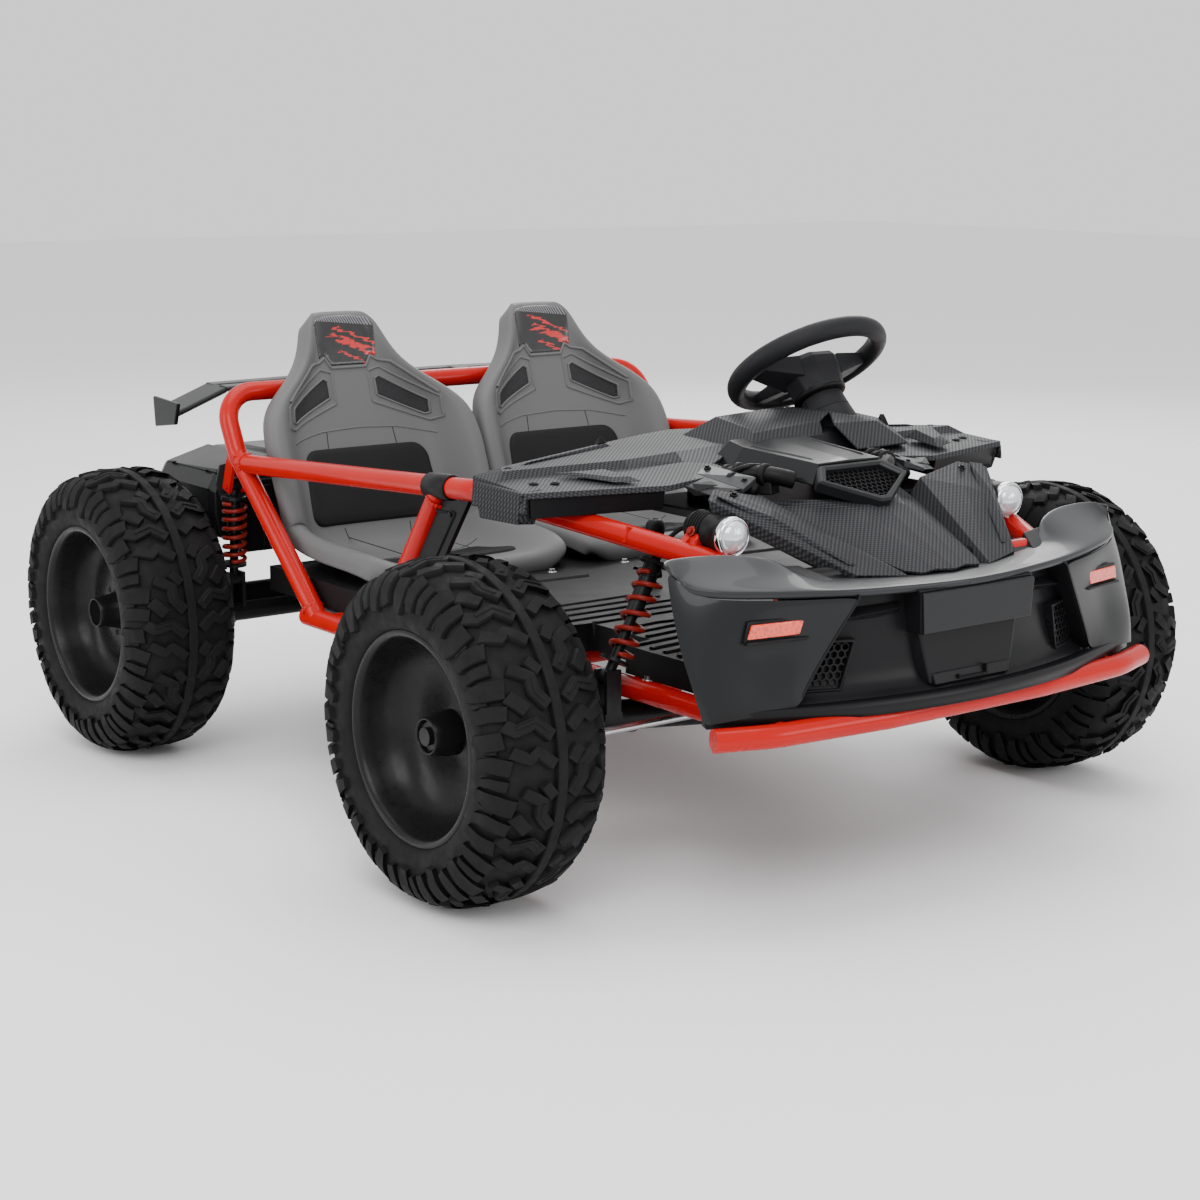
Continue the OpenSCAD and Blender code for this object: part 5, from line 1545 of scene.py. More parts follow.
def lower_lip():
    """The black ledge that runs along the top of the bumper bar."""
    path = [at(x, bow(x, -6 - 14 * (abs(x) / 330) ** 3), 233.5) for x in range(-326, 327, 18)]
    section = [(-9, -9), (-9, 4.4), (-7.5, 6), (6, 6.6), (8.6, 4.8), (9, -9)]
    return paint(sweep("lower_lip", path, section), "body_dark")


def bumper_pieces():
    finish_piece(
        joined("bumper_panels", bumper_face() + lip_pieces()), "chassis", "dark_plastic", "bumper_shell")
    parts = insert_pieces() + [lower_lip()]
    lenses = []
    for wells, lens in marker_pieces():
        parts += wells
        lenses.append(lens)
    finish_piece(joined("bumper_mouth", parts), "chassis", "black_plastic", "bumper_insert")
    finish_piece(joined("marker_lenses", lenses), "chassis", "marker_orange", "marker_lights")


# ---------- headlights ----------
def light_pieces():
    """Round barrels with a chrome bezel, a reflector and a domed glass, on short brackets."""
    shells, glasses = [], []
    for sign in (1, -1):
        back = at(sign * 215, -96, 402)
        ahead = Vector((0, -1, -0.05)).normalized()
        barrel = [
            (-6, 0.01), (-6, 10), (-3, 14), (2, 17.5), (6, 19.2), (30, 19.8), (31, 20.6), (34, 20.6),
            (35, 19.8), (52, 20.2), (53, 21.2), (60, 21.4), (60, 18.6), (40, 16), (40, 0.01)]
        shells.append(turned(f"lamp_barrel{sign}", barrel, back, ahead, "trim", 48))
        for k in range(5):
            shells.append(ring_piece(
                f"lamp_rib{sign}{k}", back + ahead * ((9 + k * 4.2) * MM), ahead, 17, 20.9, 1.8, "trim",
                0.5, 40))
        bezel_line = [
            (58, 18.4), (58, 21.6), (59.5, 22.4), (65.5, 22.2), (67.5, 21), (68, 19.4), (66, 18.4),
            (62, 17.6)]
        shells.append(paint(lathe(f"lamp_bezel{sign}", bezel_line, back, ahead, 56), "chrome"))
        bowl = [(44, 3.5), (45, 8), (50, 13.5), (57, 17), (62, 18.2)]
        shells.append(turned(f"lamp_bowl{sign}", bowl, back, ahead, "chrome"))
        dome = [(64.5, 18.9), (67.5, 18.2), (71, 15.8), (74, 11), (75.6, 5.5), (76, 0.01)]
        glasses.append(turned(f"lamp_glass{sign}", dome, back, ahead, "lamp", 48))
        # the yoke and its bolt, on the side rail
        shells += [
            wedge(f"lamp_yoke{sign}", [
                (226, -128, 384), (246, -128, 372), (226, -108, 384), (248, -108, 374), (234, -128, 400),
                (238, -110, 400), (240, -126, 394)], "red", 1.5, side=sign),
            bolt_head(f"lamp_bolt{sign}", (sign * 238, -118, 402), (sign * 1, 0, 0.4), 4, "spring_red"),
            pipe(f"lamp_cable{sign}", [
                (215, -92, 401), (217, -74, 396), (226, -62, 384), (236, -50, 376)], 2.6, "trim", 8,
                side=sign),
        ]
    finish_piece(joined("headlight_barrels", shells), "chassis", "black_plastic", "headlights")
    finish_piece(joined("headlight_glasses", glasses), "chassis", "lamp_glass", "headlight_lenses")


# ---------- controls ----------
WHEEL_PLACE = (166, 144, 538)
COLUMN_RAKE = 34.2


def at_wheel():
    """The steering wheel's own axes: Z along the column towards the driver, Y to the driver's lap."""
    return Matrix.Translation(at(*WHEEL_PLACE)) @ Matrix.Rotation(math.radians(-COLUMN_RAKE), 4, "X")


def wheel_wedge(name, points, material, bevel=1.6, side=1):
    turn = at_wheel()
    return paint(hull_piece(name, [
        turn @ (Vector((side * x, y, z)) * MM) for x, y, z in points], bevel, 3), material)


def steering_wheel_piece():
    """A slim rim with grips and seams, three spokes and a deep faceted hub."""
    turn = at_wheel()
    steps, ring = 120, 20
    points = []
    for i in range(steps):
        a = 2 * math.pi * i / steps
        grip = max(0.0, math.cos(2 * (a - math.pi * 0.06))) ** 3
        seam = min(abs((math.degrees(a) - s + 180) % 360 - 180) for s in (38, 142, 232, 308))
        notch = 0.6 * math.exp(-(seam / 1.1) ** 2)
        for k in range(ring):
            b = 2 * math.pi * k / ring
            radial, rise = 11.6 + 1.4 * grip - notch, 13.2 - notch
            inner = 1.0 - 0.10 * max(0.0, -math.cos(b)) ** 2
            r = 95 + radial * math.cos(b) * inner
            points.append(turn @ Vector((
                r * math.cos(a) * MM, r * math.sin(a) * MM, rise * math.sin(b) * MM)))
    parts = [paint(mesh_piece("rim", points, quads(steps, ring, True, True)), "grip")]
    # side spokes widen into the hub, the lower one is split round an opening
    for s in (1, -1):
        parts += [
            wheel_wedge(f"spoke{s}", [
                (90, -14, 5), (90, 16, 4), (90, -10, -8), (90, 12, -9), (30, -26, 1), (30, 28, 0),
                (30, -22, -26), (30, 24, -28)], "grip", 3, side=s),
            wheel_wedge(f"spoke_face{s}", [
                (84, -8, 6.5), (84, 9, 6), (46, -15, 4.2), (46, 16, 4), (84, -8, 2), (84, 9, 2),
                (46, -15, 0), (46, 16, 0)], "trim", 1.2, side=s),
            wheel_wedge(f"low_spoke{s}", [
                (14, 92, 2), (30, 88, 2), (14, 92, -8), (30, 88, -8), (8, 26, -1), (27, 24, -1),
                (8, 26, -22), (27, 24, -22)], "grip", 2.5, side=s),
        ]
        for k, (x, y) in enumerate(((56, -4), (68, -2))):
            cap = [(0, 5.4), (1.6, 5.2), (2.4, 4.2), (2.6, 0.01)]
            parts.append(turned(
                f"thumb{s}{k}", cap, turn @ (Vector((s * x, y, 4.2)) * MM),
                turn.to_3x3() @ Vector((0, 0, 1)), "body", 20))
    hub = []
    for radius, squash, z in (
            (40, 0.80, 3.0), (44, 0.82, -4), (43, 0.84, -14), (36, 0.95, -30), (33, 1.0, -46)):
        hub += [(radius * math.cos(a) * 1.05, radius * math.sin(a) * squash, z)
                for a in (math.radians(22.5 + 45 * k) for k in range(8))]
    parts.append(wheel_wedge("hub", hub, "grip", 2.2))
    ring_z = turn.to_3x3() @ Vector((0, 0, 1))
    parts += [
        ring_piece("hub_ring", turn @ Vector((0, 0, 2.4 * MM)), ring_z, 16.6, 21, 2.4, "trim", 0.9, 40),
        turned(
            "hub_skirt", [(0, 33.5), (-2, 34.5), (-5, 34.5), (-7, 33), (-7, 22)],
            turn @ Vector((0, 0, -41 * MM)), ring_z, "trim", 48),
    ]
    for s in (1, -1):
        parts.append(bolt_head(
            f"hub_screw{s}", turn @ Vector((s * 27 * MM, 0.018, 3.2 * MM)), ring_z, 2.6, "trim"))
    return joined("steering_wheel_grip", parts)


def control_pieces():
    turn = at_wheel()
    up = turn.to_3x3() @ Vector((0, 0, 1))
    finish_piece(steering_wheel_piece(), "steering", "wheel_grip", "steering_wheel")
    dome = [
        (-6, 15.6), (0.5, 15.6), (2.2, 15.0), (3.2, 13.4), (3.6, 11), (3.2, 10), (4.2, 8.4), (4.8, 5),
        (5.0, 0.01)]
    horn = lathe("horn_cap", dome, turn @ Vector((0, 0, 0)), up, 48, closed=False)
    finish_piece(paint(horn, "spring_red"), "horn", "horn_red", "horn_button")
    # the shroud flares down to the dash, with a split line, a screw boss and a foot ring
    shell = [
        (-49, 24), (-49, 26.5), (-52, 27.6), (-70, 30.5), (-70.6, 30.0), (-72, 30.8), (-100, 36.5),
        (-118, 41), (-126, 44.5), (-129, 44.5), (-129, 38)]
    parts = [turned("shroud", shell, turn @ Vector((0, 0, 0)), up, "grip", 56)]
    parts[0].data.set_sharp_from_angle(angle=math.radians(32))
    for k in range(2):
        a = math.radians(200 + 140 * k)
        side = turn.to_3x3() @ Vector((math.cos(a), math.sin(a), 0))
        foot = turn @ Vector((0, 0, -0.104)) + side * 0.0365
        parts += [
            ring_piece(f"boss{k}", foot - side * 0.003, side, 0.01, 6.5, 5.5, "grip", 1.2, 24),
            bolt_head(f"boss_screw{k}", foot + side * 0.0022, side, 2.4, "steel"),
        ]
    for s in (1, -1):
        side = turn.to_3x3() @ Vector((s, 0, 0))
        line = [
            turn @ Vector((0, 0, -z * MM)) + side * ((r - 0.4) * MM) for z,
            r in ((54, 28), (70, 30.6), (100, 36.6), (122, 42.4))]
        parts.append(paint(sweep(f"split{s}", line, circle(1.1, 8)), "mesh"))
    finish_piece(joined("column_cover", parts), "chassis", "dark_plastic", "column_shroud")

    # gear lever: boot, tapered stick and a knob with a hole
    foot = at(0, 239, 268)
    lean = (at(0, 240, 339) - foot).normalized()
    stick = [(0, 6), (8, 5.4), (30, 4.6), (52, 4.4)]
    boot = [(0, 8.6), (3, 9.0), (5, 8.2), (8, 8.6), (10, 7.4), (13, 7.8), (15, 6.8), (18, 7.0), (20, 5.4)]
    knob = [
        (48, 5), (52, 8.5), (57, 11.6), (64, 12.8), (70, 11.8), (74, 8.5), (75.5, 5.6), (74.5, 4.4),
        (71, 3.8), (71, 0.01)]
    parts = [turned("stick", stick, foot, lean, "steel", 24),
             turned("boot", boot, foot, lean, "tyre", 32),
             turned("knob", knob, foot, lean, "grip")]
    finish_piece(joined("lever_knob", parts), "lever", "wheel_grip", "shift_lever")

    # the pedal's ribbed pad lies over its frame shape
    low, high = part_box("pedal")
    low, high = (low - at(0, 0, 0)) / MM, (high - at(0, 0, 0)) / MM
    parts = []
    for k in range(6):
        t = (k + 0.8) / 6.6
        y, z = high.y - 8 + (low.y - high.y + 8) * t, 276 + (high.z - 277) * t
        parts.append(block(
            f"pedal_rib{k}", (low.x + 5, y - 2.5 + 3, z), (high.x - 5, y + 2.5 + 3, z + 3), "tyre", 1.2))
    paint(CAD_NODES["pedal"], "trim")
    finish_piece(joined("pedal_ribs", parts), "pedal", "black_plastic")


# ---------- rear ----------
def rear_pieces():
    back, front = WHEELBASE + 105, WHEELBASE - 62
    outline = [(-356, 288), (-362, 320), (-362, 350), (-350, 372), (-274, 388)]
    outline += [(-x, z) for x, z in reversed(outline)]
    body = hull_piece("body_core", [
        at(x * (0.99 if y in (front, back) else 1), y, z - (4 if y in (front, back) else 0)) for x,
        z in outline for y in (front, front + 14, back - 14, back)], 5, 3)
    parts = [paint(body, "body")]
    # the top carries two stepped panels, seams and clips
    for s in (1, -1):
        parts += [
            wedge(f"top_step{s}", [
                (96, front + 18, 386), (262, front + 18, 386), (268, back - 24, 386), (100, back - 24, 386),
                (108, front + 26, 393), (250, front + 26, 393), (254, back - 34, 392),
                (112, back - 34, 392)], "body", 2.5, side=s),
            wedge(f"corner_cap{s}", [
                (353, front + 4, 371), (282, front + 4, 387), (353, back - 12, 371), (282, back - 12, 387),
                (350, front + 8, 376), (290, back - 20, 391), (290, front + 8, 391)], "body", 2, side=s),
            block(
                f"side_seam{s}", (min(s * 361, s * 363.4), front + 10, 349),
                (max(s * 361, s * 363.4), back - 12, 350.6), "mesh", 0.4),
        ]
        for y in (front + 30, back - 40):
            parts += [
                block(f"clip{s}{y:.0f}", (s * 352 - 4, y, 371), (s * 352 + 4, y + 12, 373.4), "mesh", 0.6),
                bolt_head(f"body_bolt{s}{y:.0f}", (s * 362.2, y, 312), (s, 0, 0), 4, "trim"),
            ]
        # the vented rear face
        for k in range(5):
            parts.append(wedge(f"louvre{s}{k}", [
                (120, back - 1, 306 + k * 12), (280, back - 1, 306 + k * 12),
                (120, back + 2.5, 303 + k * 12), (280, back + 2.5, 303 + k * 12),
                (120, back - 1, 299 + k * 12), (280, back - 1, 299 + k * 12)], "body_dark", 0.8, side=s))
        # the pale bracket by the damper's top eye, with its hole
        plate = frame_of(at(s * 340, front - 8, 368), (s, 0, 0), (0, 0, 1))
        parts += [
            paint(prism(f"eye_plate{s}", [
                (-22, -36), (12, -36), (20, -8), (14, 16), (-8, 20), (-22, 8)], 3, plate, 0.9), "lip"),
            bolt_head(f"eye_bolt{s}", (s * 343, front - 11, 357), (0, -1, 0), 4.4, "steel"),
            block(
                f"under_box{s}", (min(s * 150, s * 330), front - 20, 274),
                (max(s * 150, s * 330), back - 40, 292), "body_dark", 4),
        ]
    # the black wall between the seats and the drive
    parts.append(block("fire_wall", (-334, front - 22, 264), (334, front + 4, 362), "body_dark", 3, 2))
    for k in range(7):
        parts.append(block(
            f"wall_rib{k}", (-300 + k * 96, front - 25, 272), (-286 + k * 96, front - 20, 354), "body_dark",
            1.5))
    parts += [
        block("middle_lid", (-88, front + 16, 385), (88, back - 26, 391), "body", 2, 4),
        block("lid_grip", (-30, back - 46, 390.6), (30, back - 38, 393.4), "body_dark", 1),
    ]
    finish_piece(joined("rear_body_shell", parts), "chassis", "dark_plastic", "rear_body")
    finish_piece(joined("spoiler_wing", spoiler_parts()), "chassis", "dark_plastic", "spoiler")


def spoiler_parts():
    """A slotted blade that bends down to its end plates, on two stanchions."""
    y0, y1 = WHEELBASE + 46, WHEELBASE + 105
    top = 476
    parts = []

    def span(name, left, right, front, rear, thick=7.0, drop_l=0.0, drop_r=0.0):
        points = []
        for x, drop in ((left, drop_l), (right, drop_r)):
            points += [
                (x, front, top - drop), (x, rear, top - drop + 1), (x, front + 2, top - drop - thick),
                (x, rear, top - drop - thick - 3), (x, front - 3, top - drop - thick / 2)]
        parts.append(wedge(name, points, "body", 1.6))

    for s in (1, -1):
        span(f"outer{s}", s * 276, s * 352, y0 + 2, y1, 9, 2, 31)
        span(f"front_bar{s}", s * 128, s * 280, y0, y0 + 19, 7, 0, 2)
        span(f"rear_bar{s}", s * 128, s * 280, y1 - 20, y1, 8, 0, 2)
        span(f"rib{s}", s * 118, s * 142, y0 + 1, y1 - 1, 7)
        span(f"inner_front{s}", s * 20, s * 124, y0, y0 + 16, 7)
        span(f"inner_rear{s}", s * 20, s * 124, y1 - 18, y1, 8)
        # end plate: leaning outwards, cut back at its front
        parts += [
            wedge(f"end_plate{s}", [
                (352, y0 - 6, top - 20), (352, y1 + 8, top - 16), (353, y1 + 2, top - 58),
                (353, y0 + 2, top - 50), (358, y0 - 6, top - 20), (358, y1 + 8, top - 16),
                (359, y1 + 2, top - 58), (359, y0 + 2, top - 50)], "body", 1.8, side=s),
            wedge(f"stanchion{s}", [
                (84, y0 + 12, 386), (96, y0 + 12, 386), (84, y1 - 8, 386), (96, y1 - 8, 386),
                (85, y0 + 20, top - 4), (95, y0 + 20, top - 4), (85, y1 - 14, top - 4),
                (95, y1 - 14, top - 4)], "body", 1.8, side=s),
            wedge(f"stanchion_foot{s}", [
                (74, y0 + 6, 388), (106, y0 + 6, 388), (74, y1 - 4, 388), (106, y1 - 4, 388),
                (80, y0 + 12, 396), (100, y0 + 12, 396), (80, y1 - 10, 396), (100, y1 - 10, 396)],
                "body_dark", 2, side=s),
        ]
        for y in (y0 + 10, y1 - 10):
            parts.append(bolt_head(f"foot_bolt{s}{y:.0f}", (s * 102, y, 393), (0, 0, 1), 2.8, "steel"))
    span("middle", -24, 24, y0, y1, 7)
    return parts


# ---------- floor ----------
def floor_pieces():
    """Anti-slip ridges and footwell details that follow the pan, and bolts on the side panels."""
    pan = tree_of(CAD_NODES["floor_pan"])
    drop = caster(pan, at(0, 0, 420), (1, 0, 0), (0, 1, 0), (0, 0, -1))
    parts = []
    for s in (1, -1):
        for k in range(9):
            y = -150 + k * 24
            parts.append(groove_line(
                f"tread{s}{k}", [(s * 60, y), (s * 150, y + 10), (s * 240, y)], drop, 9, 2.4, "floor"))
        for k in range(5):
            y = 92 + k * 26
            parts.append(groove_line(
                f"tread_back{s}{k}", [(s * 50, y), (s * 300, y)], drop, 8, 2.2, "floor"))
        parts.append(groove_line(
            f"heel{s}", [(s * 40, 330), (s * 160, 342), (s * 300, 330)], drop, 12, 3.0, "floor"))
        for x, y in ((310, -60), (310, 120), (310, 300), (60, 380)):
            place, normal = drop(s * x, y)
            parts.append(bolt_head(f"pan_bolt{s}{x}{y}", place, normal, 4.2, "steel"))
    finish_piece(joined("floor_tread", parts), "chassis", "black_plastic")
    parts = []
    for s in (1, -1):
        # dished face and rolled rim of each triangular panel
        rim = [(150, 404), (226, 400), (322, 248), (312, 268), (236, 284)]
        face = frame_of(at(s * 352.2, 0, 0), (0, s, 0), (0, 0, 1))
        ring = [(s * y, z) for y, z in shrunk(rim, 9)]
        points = [face @ Vector((u * MM, v * MM, 0)) for u, v in ring]
        parts.append(paint(sweep(
            f"panel_bead{s}", points + [points[0]], circle(1.8, 8), up=(s, 0, 0)), "trim"))
        for y, z in ((176, 392), (236, 300), (300, 268)):
            parts.append(bolt_head(f"panel_bolt{s}{y}", (s * 352.2, y, z), (s, 0, 0), 3.6, "trim"))
    finish_piece(joined("side_panel_trim", parts), "chassis", "black_plastic")


# ---------- frame ----------
def weld_bead(name, place, axis, radius, material):
    """A rippled bead round a tube joint."""
    axis = Vector(axis).normalized()
    side = axis.orthogonal().normalized()
    up = axis.cross(side)
    path, scale = [], []
    steps = 72
    for i in range(steps):
        a = 2 * math.pi * i / steps
        path.append(at(*place) + (side * math.cos(a) + up * math.sin(a)) * (radius * MM))
        scale.append(1.0 + 0.22 * math.sin(a * 18))
    return paint(sweep(name, path, circle(2.3, 8), up=axis, loop=True, scale=scale), material)


def frame_details():
    """Weld beads, the clamp sleeves on the side rails and the plugs of the open tube ends."""
    beads, sleeves = [], []
    rail = Vector((0, -550, 33)).normalized()
    for s in (1, -1):
        for name, place, axis in (
                ("rail_hoop", (s * 349, 664, 392.8), (0, -1, 0.06)),
                ("door_top", (s * 349, 209, 405), (0, -0.6, 0.8)),
                ("door_foot", (s * 349, 335, 226), (0, -0.6, 0.8)),
                ("hoop_foot", (s * 349, 502, 226), (0, 0.65, 0.76))):
            beads.append(weld_bead(f"weld_{name}{s}", place, axis, 12.9, "red"))
        start = at(s * 349, 232, 418.8)
        profile = [(8, 12.8), (8, 14.2), (9.2, 15.2), (30, 15.5), (54, 15.2), (55.2, 14.2), (55.2, 12.8)]
        sleeves.append(paint(lathe(f"sleeve{s}", profile, start, rail, 40), "trim"))
        end = [(-8, 0.01), (-8, 11.0), (0, 11.2), (1.4, 11.2), (2.6, 10), (3, 7), (3.1, 0.01)]
        sleeves.append(turned(f"plug{s}", end, at(s * 345, 515, 215), (0, 1, 0), "trim", 32))
    finish_piece(joined("frame_welds", beads), "chassis", "red_paint")
    finish_piece(joined("rail_sleeves", sleeves), "chassis", "black_plastic")


def frame_finishes():
    """Every frame node that keeps its own shape gets its finish."""
    shocks = [f"front_shock_{part}_{side}" for part in ("body", "rod") for side in ("left", "right")]
    table = {
        "red": ["side_rail_left", "side_rail_right", "rear_hoop", "lower_rails", "door_tubes", "cross_tubes",
                "bumper_bar", "frame_brackets"],
        "steel": ["pivot_bolts", "steering_shaft", "steering_rack", "tie_rod_left", "tie_rod_right",
                  "rear_axle"],
        "black_coat": ["knuckle_left", "knuckle_right", "front_arm_left", "front_arm_right", "rear_swing_arm"],
        "damper": shocks + ["rear_shock_bodies", "rear_shock_rods"],
        "trim": ["drive_units", "steering_gearbox", "battery_pack", "side_panels"],
        "floor": ["floor_pan"],
    }
    for finish, nodes in table.items():
        for node in nodes:
            paint(CAD_NODES[node], finish)


# ---------- stage ----------
def make_stage(s):
    floor_z = CAD_BOX[0].z - 0.0005
    size = s.floor_size
    floor = mesh_piece("studio_floor", [
        (-size, -size, floor_z), (size, -size, floor_z), (size, size, floor_z), (-size, size, floor_z)],
        [(0, 1, 2, 3)], False)
    f = Finish("pale floor", s.floor_color, 0.9, specular=0.1)
    f.vary_color(f.noise(3, 3), shade(s.floor_color, 0.995), shade(s.floor_color, 1.005))
    paint(floor, f.mat)
    world = bpy.data.worlds.new("studio")
    world.use_nodes = True
    back = world.node_tree.nodes["Background"]
    back.inputs["Color"].default_value = (1.0, 1.0, 1.0, 1.0)
    back.inputs["Strength"].default_value = s.sky_strength
    bpy.context.scene.world = world

    def area(name, place, target, size_x, size_y, power):
        light = bpy.data.lights.new(name, "AREA")
        light.shape = "RECTANGLE"
        light.size, light.size_y = size_x, size_y
        light.energy = power
        obj = bpy.data.objects.new(name, light)
        bpy.context.scene.collection.objects.link(obj)
        obj.location = place
        obj.rotation_mode = "QUATERNION"
        obj.rotation_quaternion = (Vector(target) - Vector(place)).to_track_quat("-Z", "Y")

    k = s.light_power
    area("key", (-2.2, -2.6, 3.2), (0, 0, 0.25), 2.2, 2.2, 120 * k)
    area("top", (0.2, 0.4, 3.6), (0, 0, 0.2), 3.0, 3.0, 95 * k)
    area("side", (-3.4, 0.9, 1.5), (0, 0, 0.3), 1.2, 2.4, 45 * k)
    area("rim", (2.8, 2.6, 2.4), (0, 0, 0.3), 2.0, 1.6, 70 * k)
    area("nose", (1.6, -3.4, 1.3), (0, -0.4, 0.3), 1.8, 1.2, 35 * k)


def make_camera(s):
    camera = bpy.data.cameras.new("view")
    camera.lens = s.lens
    camera.sensor_width = 36.0
    camera.shift_x, camera.shift_y = s.shift
    camera.clip_start, camera.clip_end = 0.05, 60
    obj = bpy.data.objects.new("view", camera)
    bpy.context.scene.collection.objects.link(obj)
    ahead = Vector((
        math.sin(s.yaw) * math.cos(s.pitch), math.cos(s.yaw) * math.cos(s.pitch), -math.sin(s.pitch)))
    right = Vector((math.cos(s.yaw), -math.sin(s.yaw), 0))
    up = right.cross(ahead)
    r2 = right * math.cos(s.roll) + up * math.sin(s.roll)
    u2 = up * math.cos(s.roll) - right * math.sin(s.roll)
    rot = Matrix((r2, u2, -ahead)).transposed().to_4x4()
    obj.matrix_world = Matrix.Translation(s.camera_place) @ rot
    bpy.context.scene.camera = obj


# ---------- settings ----------
class KartFrameSettings(bpy.types.PropertyGroup):
    frame_red: bpy.props.FloatVectorProperty(
        name="Frame red", description="Paint of the tubular frame", default=(0.43, 0.0045, 0.003),
        subtype="COLOR", min=0, max=1)
    spring_red: bpy.props.FloatVectorProperty(
        name="Spring red", description="Coating of the coil springs", default=(0.20, 0.010, 0.006),
        subtype="COLOR", min=0, max=1)


class KartBodySettings(bpy.types.PropertyGroup):
    body_grey: bpy.props.FloatVectorProperty(
        name="Panel charcoal", description="Plastic of the bumper, spoiler and covers",
        default=(0.010, 0.0105, 0.0115), subtype="COLOR", min=0, max=1)
    marker_orange: bpy.props.FloatVectorProperty(
        name="Marker orange", description="Lenses of the front markers", default=(0.62, 0.040, 0.010),
        subtype="COLOR", min=0, max=1)


class KartSeatSettings(bpy.types.PropertyGroup):
    seat_grey: bpy.props.FloatVectorProperty(
        name="Seat grey", description="Plastic of the bucket seats", default=(0.118, 0.118, 0.120),
        subtype="COLOR", min=0, max=1)


class KartWheelSettings(bpy.types.PropertyGroup):
    tyre_black: bpy.props.FloatVectorProperty(
        name="Tyre black", description="Rubber of the tyres", default=(0.0075, 0.0075, 0.008),
        subtype="COLOR", min=0, max=1)


class KartStageSettings(bpy.types.PropertyGroup):
    floor_color: bpy.props.FloatVectorProperty(
        name="Floor", description="Colour of the studio floor", default=(0.92, 0.92, 0.92),
        subtype="COLOR", min=0, max=1)
    floor_size: bpy.props.FloatProperty(
        name="Floor size", description="Half the width of the studio floor", default=14.0, unit="LENGTH", min=1)
    light_power: bpy.props.FloatProperty(
        name="Light power", description="Strength of the soft lights", default=0.8, min=0)
    sky_strength: bpy.props.FloatProperty(
        name="Sky strength", description="Strength of the even light from all round", default=1.15, min=0)
    camera_place: bpy.props.FloatVectorProperty(
        name="Camera place", description="Where the camera stands", default=(-1.7830, -2.3123, 0.8211),
        subtype="TRANSLATION", unit="LENGTH")
    yaw: bpy.props.FloatProperty(
        name="Yaw", description="Turn of the view from straight back to the side",
        default=math.radians(38.3135), subtype="ANGLE")
    pitch: bpy.props.FloatProperty(
        name="Pitch", description="How far the view looks down", default=math.radians(12.019), subtype="ANGLE")
    roll: bpy.props.FloatProperty(
        name="Roll", description="Tilt of the camera about its view", default=math.radians(0.42),
        subtype="ANGLE")
    lens: bpy.props.FloatProperty(
        name="Lens", description="Focal length of the camera in millimetres", default=68.16, min=10)
    shift: bpy.props.FloatVectorProperty(
        name="Shift", description="Shift of the camera's picture", default=(-0.0302, 0.0146), size=2)


def settings(group):
    return getattr(bpy.context.scene, group)


# ---------- operators ----------
class KART_OT_finishes(bpy.types.Operator):
    """Mixes every finish from the colours on the panel"""
    bl_idname = "kart.mix_finishes"
    bl_label = "Mix finishes"

    def execute(self, context):
        make_finishes()
        return {"FINISHED"}


class KART_OT_wheels(bpy.types.Operator):
    """Builds the knobby tyres and the dished rims of all four wheels"""
    bl_idname = "kart.build_wheels"
    bl_label = "Wheels"

    def execute(self, context):
        wheel_pieces()
        return {"FINISHED"}


class KART_OT_suspension(bpy.types.Operator):
    """Builds the coil springs and the collars of the dampers"""
    bl_idname = "kart.build_suspension"
    bl_label = "Springs and dampers"

    def execute(self, context):
        spring_pieces()
        damper_details()
        return {"FINISHED"}


class KART_OT_seats(bpy.types.Operator):
    """Builds the two bucket seats with their pads and vents"""
    bl_idname = "kart.build_seats"
    bl_label = "Seats"

    def execute(self, context):
        seat_pieces()
        return {"FINISHED"}


class KART_OT_hood(bpy.types.Operator):
    """Builds the dash beam, the hood wings, the air scoop and the deck"""
    bl_idname = "kart.build_hood"
    bl_label = "Hood"

    def execute(self, context):
        hood_pieces()
        return {"FINISHED"}


class KART_OT_bumper(bpy.types.Operator):
    """Builds the front bumper with its lip, grilles and markers"""
    bl_idname = "kart.build_bumper"
    bl_label = "Bumper"

    def execute(self, context):
        bumper_pieces()
        return {"FINISHED"}


class KART_OT_lights(bpy.types.Operator):
    """Builds the round headlights on their brackets"""
    bl_idname = "kart.build_lights"
    bl_label = "Headlights"

    def execute(self, context):
        light_pieces()
        return {"FINISHED"}


class KART_OT_controls(bpy.types.Operator):
    """Builds the steering wheel, its shroud, the lever and the pedal"""
    bl_idname = "kart.build_controls"
    bl_label = "Controls"

    def execute(self, context):
        control_pieces()
        return {"FINISHED"}


class KART_OT_floor(bpy.types.Operator):
    """Builds the floor pan's tread, the footrest and the side panels"""
    bl_idname = "kart.build_floor"
    bl_label = "Floor"

    def execute(self, context):
        floor_pieces()
        return {"FINISHED"}


class KART_OT_rear(bpy.types.Operator):
    """Builds the rear body and the spoiler"""
    bl_idname = "kart.build_rear"
    bl_label = "Rear body"

    def execute(self, context):
        rear_pieces()
        return {"FINISHED"}


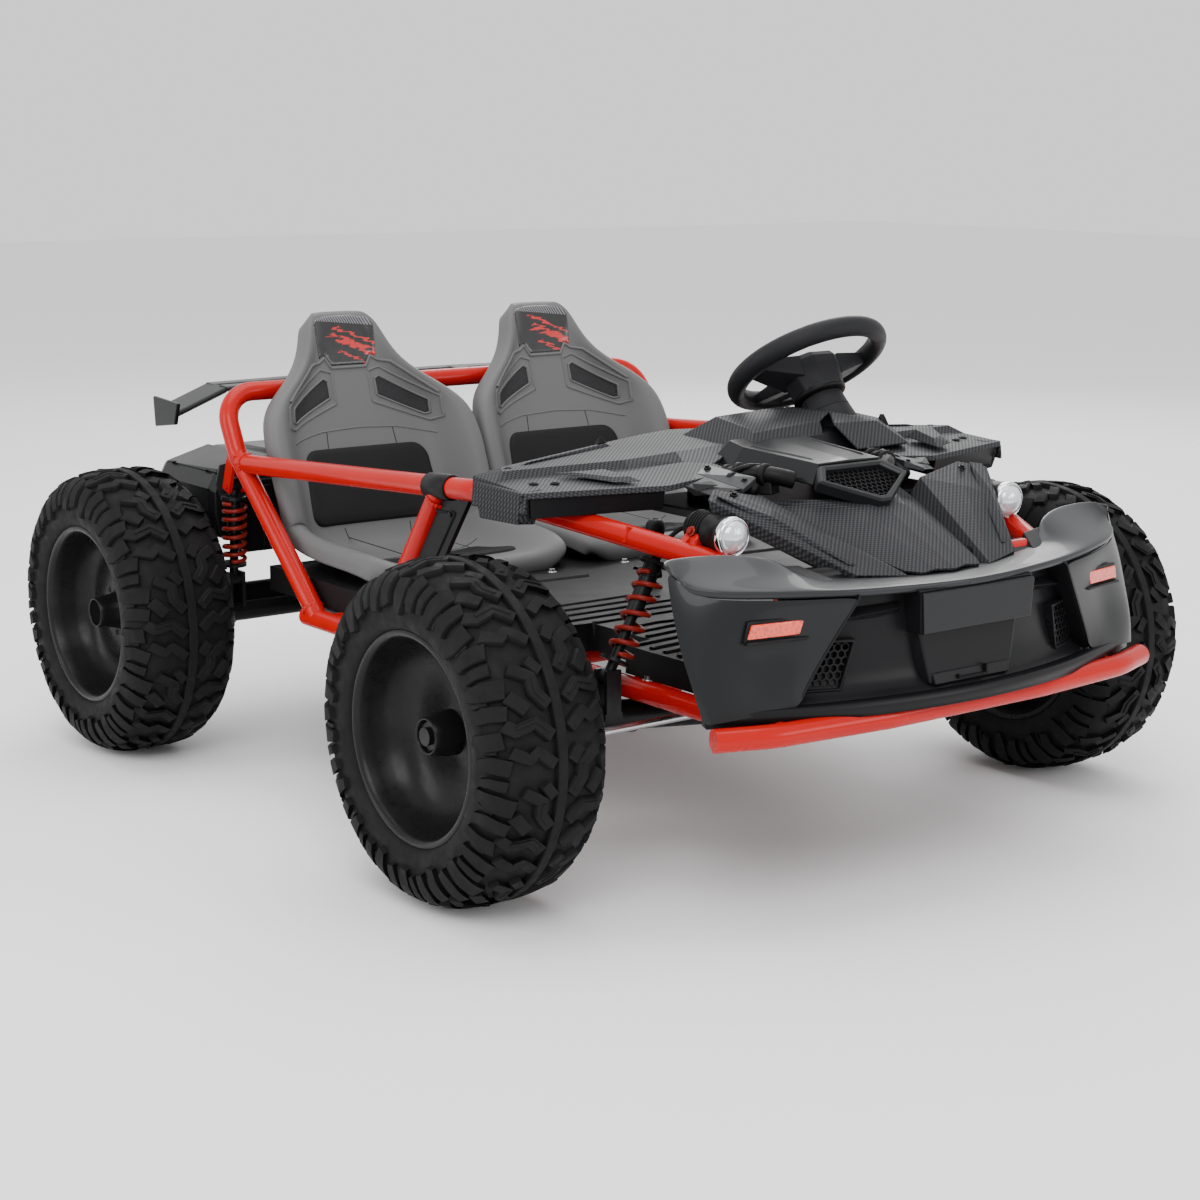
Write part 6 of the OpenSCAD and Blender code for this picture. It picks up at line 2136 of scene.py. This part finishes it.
class KART_OT_frame(bpy.types.Operator):
    """Dresses the tubular frame and every part that keeps its frame shape"""
    bl_idname = "kart.dress_frame"
    bl_label = "Frame"

    def execute(self, context):
        frame_details()
        frame_finishes()
        return {"FINISHED"}


class KART_OT_stage(bpy.types.Operator):
    """Sets the pale floor, the soft lights and the camera"""
    bl_idname = "kart.set_stage"
    bl_label = "Stage"

    def execute(self, context):
        make_stage(settings("kart_stage"))
        make_camera(settings("kart_stage"))
        return {"FINISHED"}


BUILD_ORDER = (
    KART_OT_finishes, KART_OT_wheels, KART_OT_suspension, KART_OT_seats, KART_OT_hood, KART_OT_bumper,
    KART_OT_lights, KART_OT_controls, KART_OT_floor, KART_OT_rear, KART_OT_frame, KART_OT_stage)
GROUPS = {"kart_frame": KartFrameSettings, "kart_body": KartBodySettings, "kart_seats": KartSeatSettings,
          "kart_wheels": KartWheelSettings, "kart_stage": KartStageSettings}


class KART_PT_panel(bpy.types.Panel):
    """Lists the kart's settings and the operators that build it"""
    bl_idname = "KART_PT_panel"
    bl_label = "Kart Chassis"
    bl_space_type = "VIEW_3D"
    bl_region_type = "UI"
    bl_category = "Kart"

    def draw(self, context):
        for name, group in GROUPS.items():
            box = self.layout.box()
            for key in group.__annotations__:
                box.prop(getattr(context.scene, name), key)
        for operator in BUILD_ORDER:
            self.layout.operator(operator.bl_idname)


def register():
    for group in GROUPS.values():
        bpy.utils.register_class(group)
    for name, group in GROUPS.items():
        setattr(bpy.types.Scene, name, bpy.props.PointerProperty(type=group))
    for made in BUILD_ORDER:
        bpy.utils.register_class(made)
    bpy.utils.register_class(KART_PT_panel)


def unregister():
    bpy.utils.unregister_class(KART_PT_panel)
    for made in reversed(BUILD_ORDER):
        bpy.utils.unregister_class(made)
    for name in GROUPS:
        delattr(bpy.types.Scene, name)
    for group in reversed(list(GROUPS.values())):
        bpy.utils.unregister_class(group)


def main():
    register()
    for made in BUILD_ORDER:
        family, name = made.bl_idname.split(".")
        if getattr(getattr(bpy.ops, family), name)() != {"FINISHED"}:
            raise RuntimeError(made.bl_label)


if __name__ == "__main__":
    main()
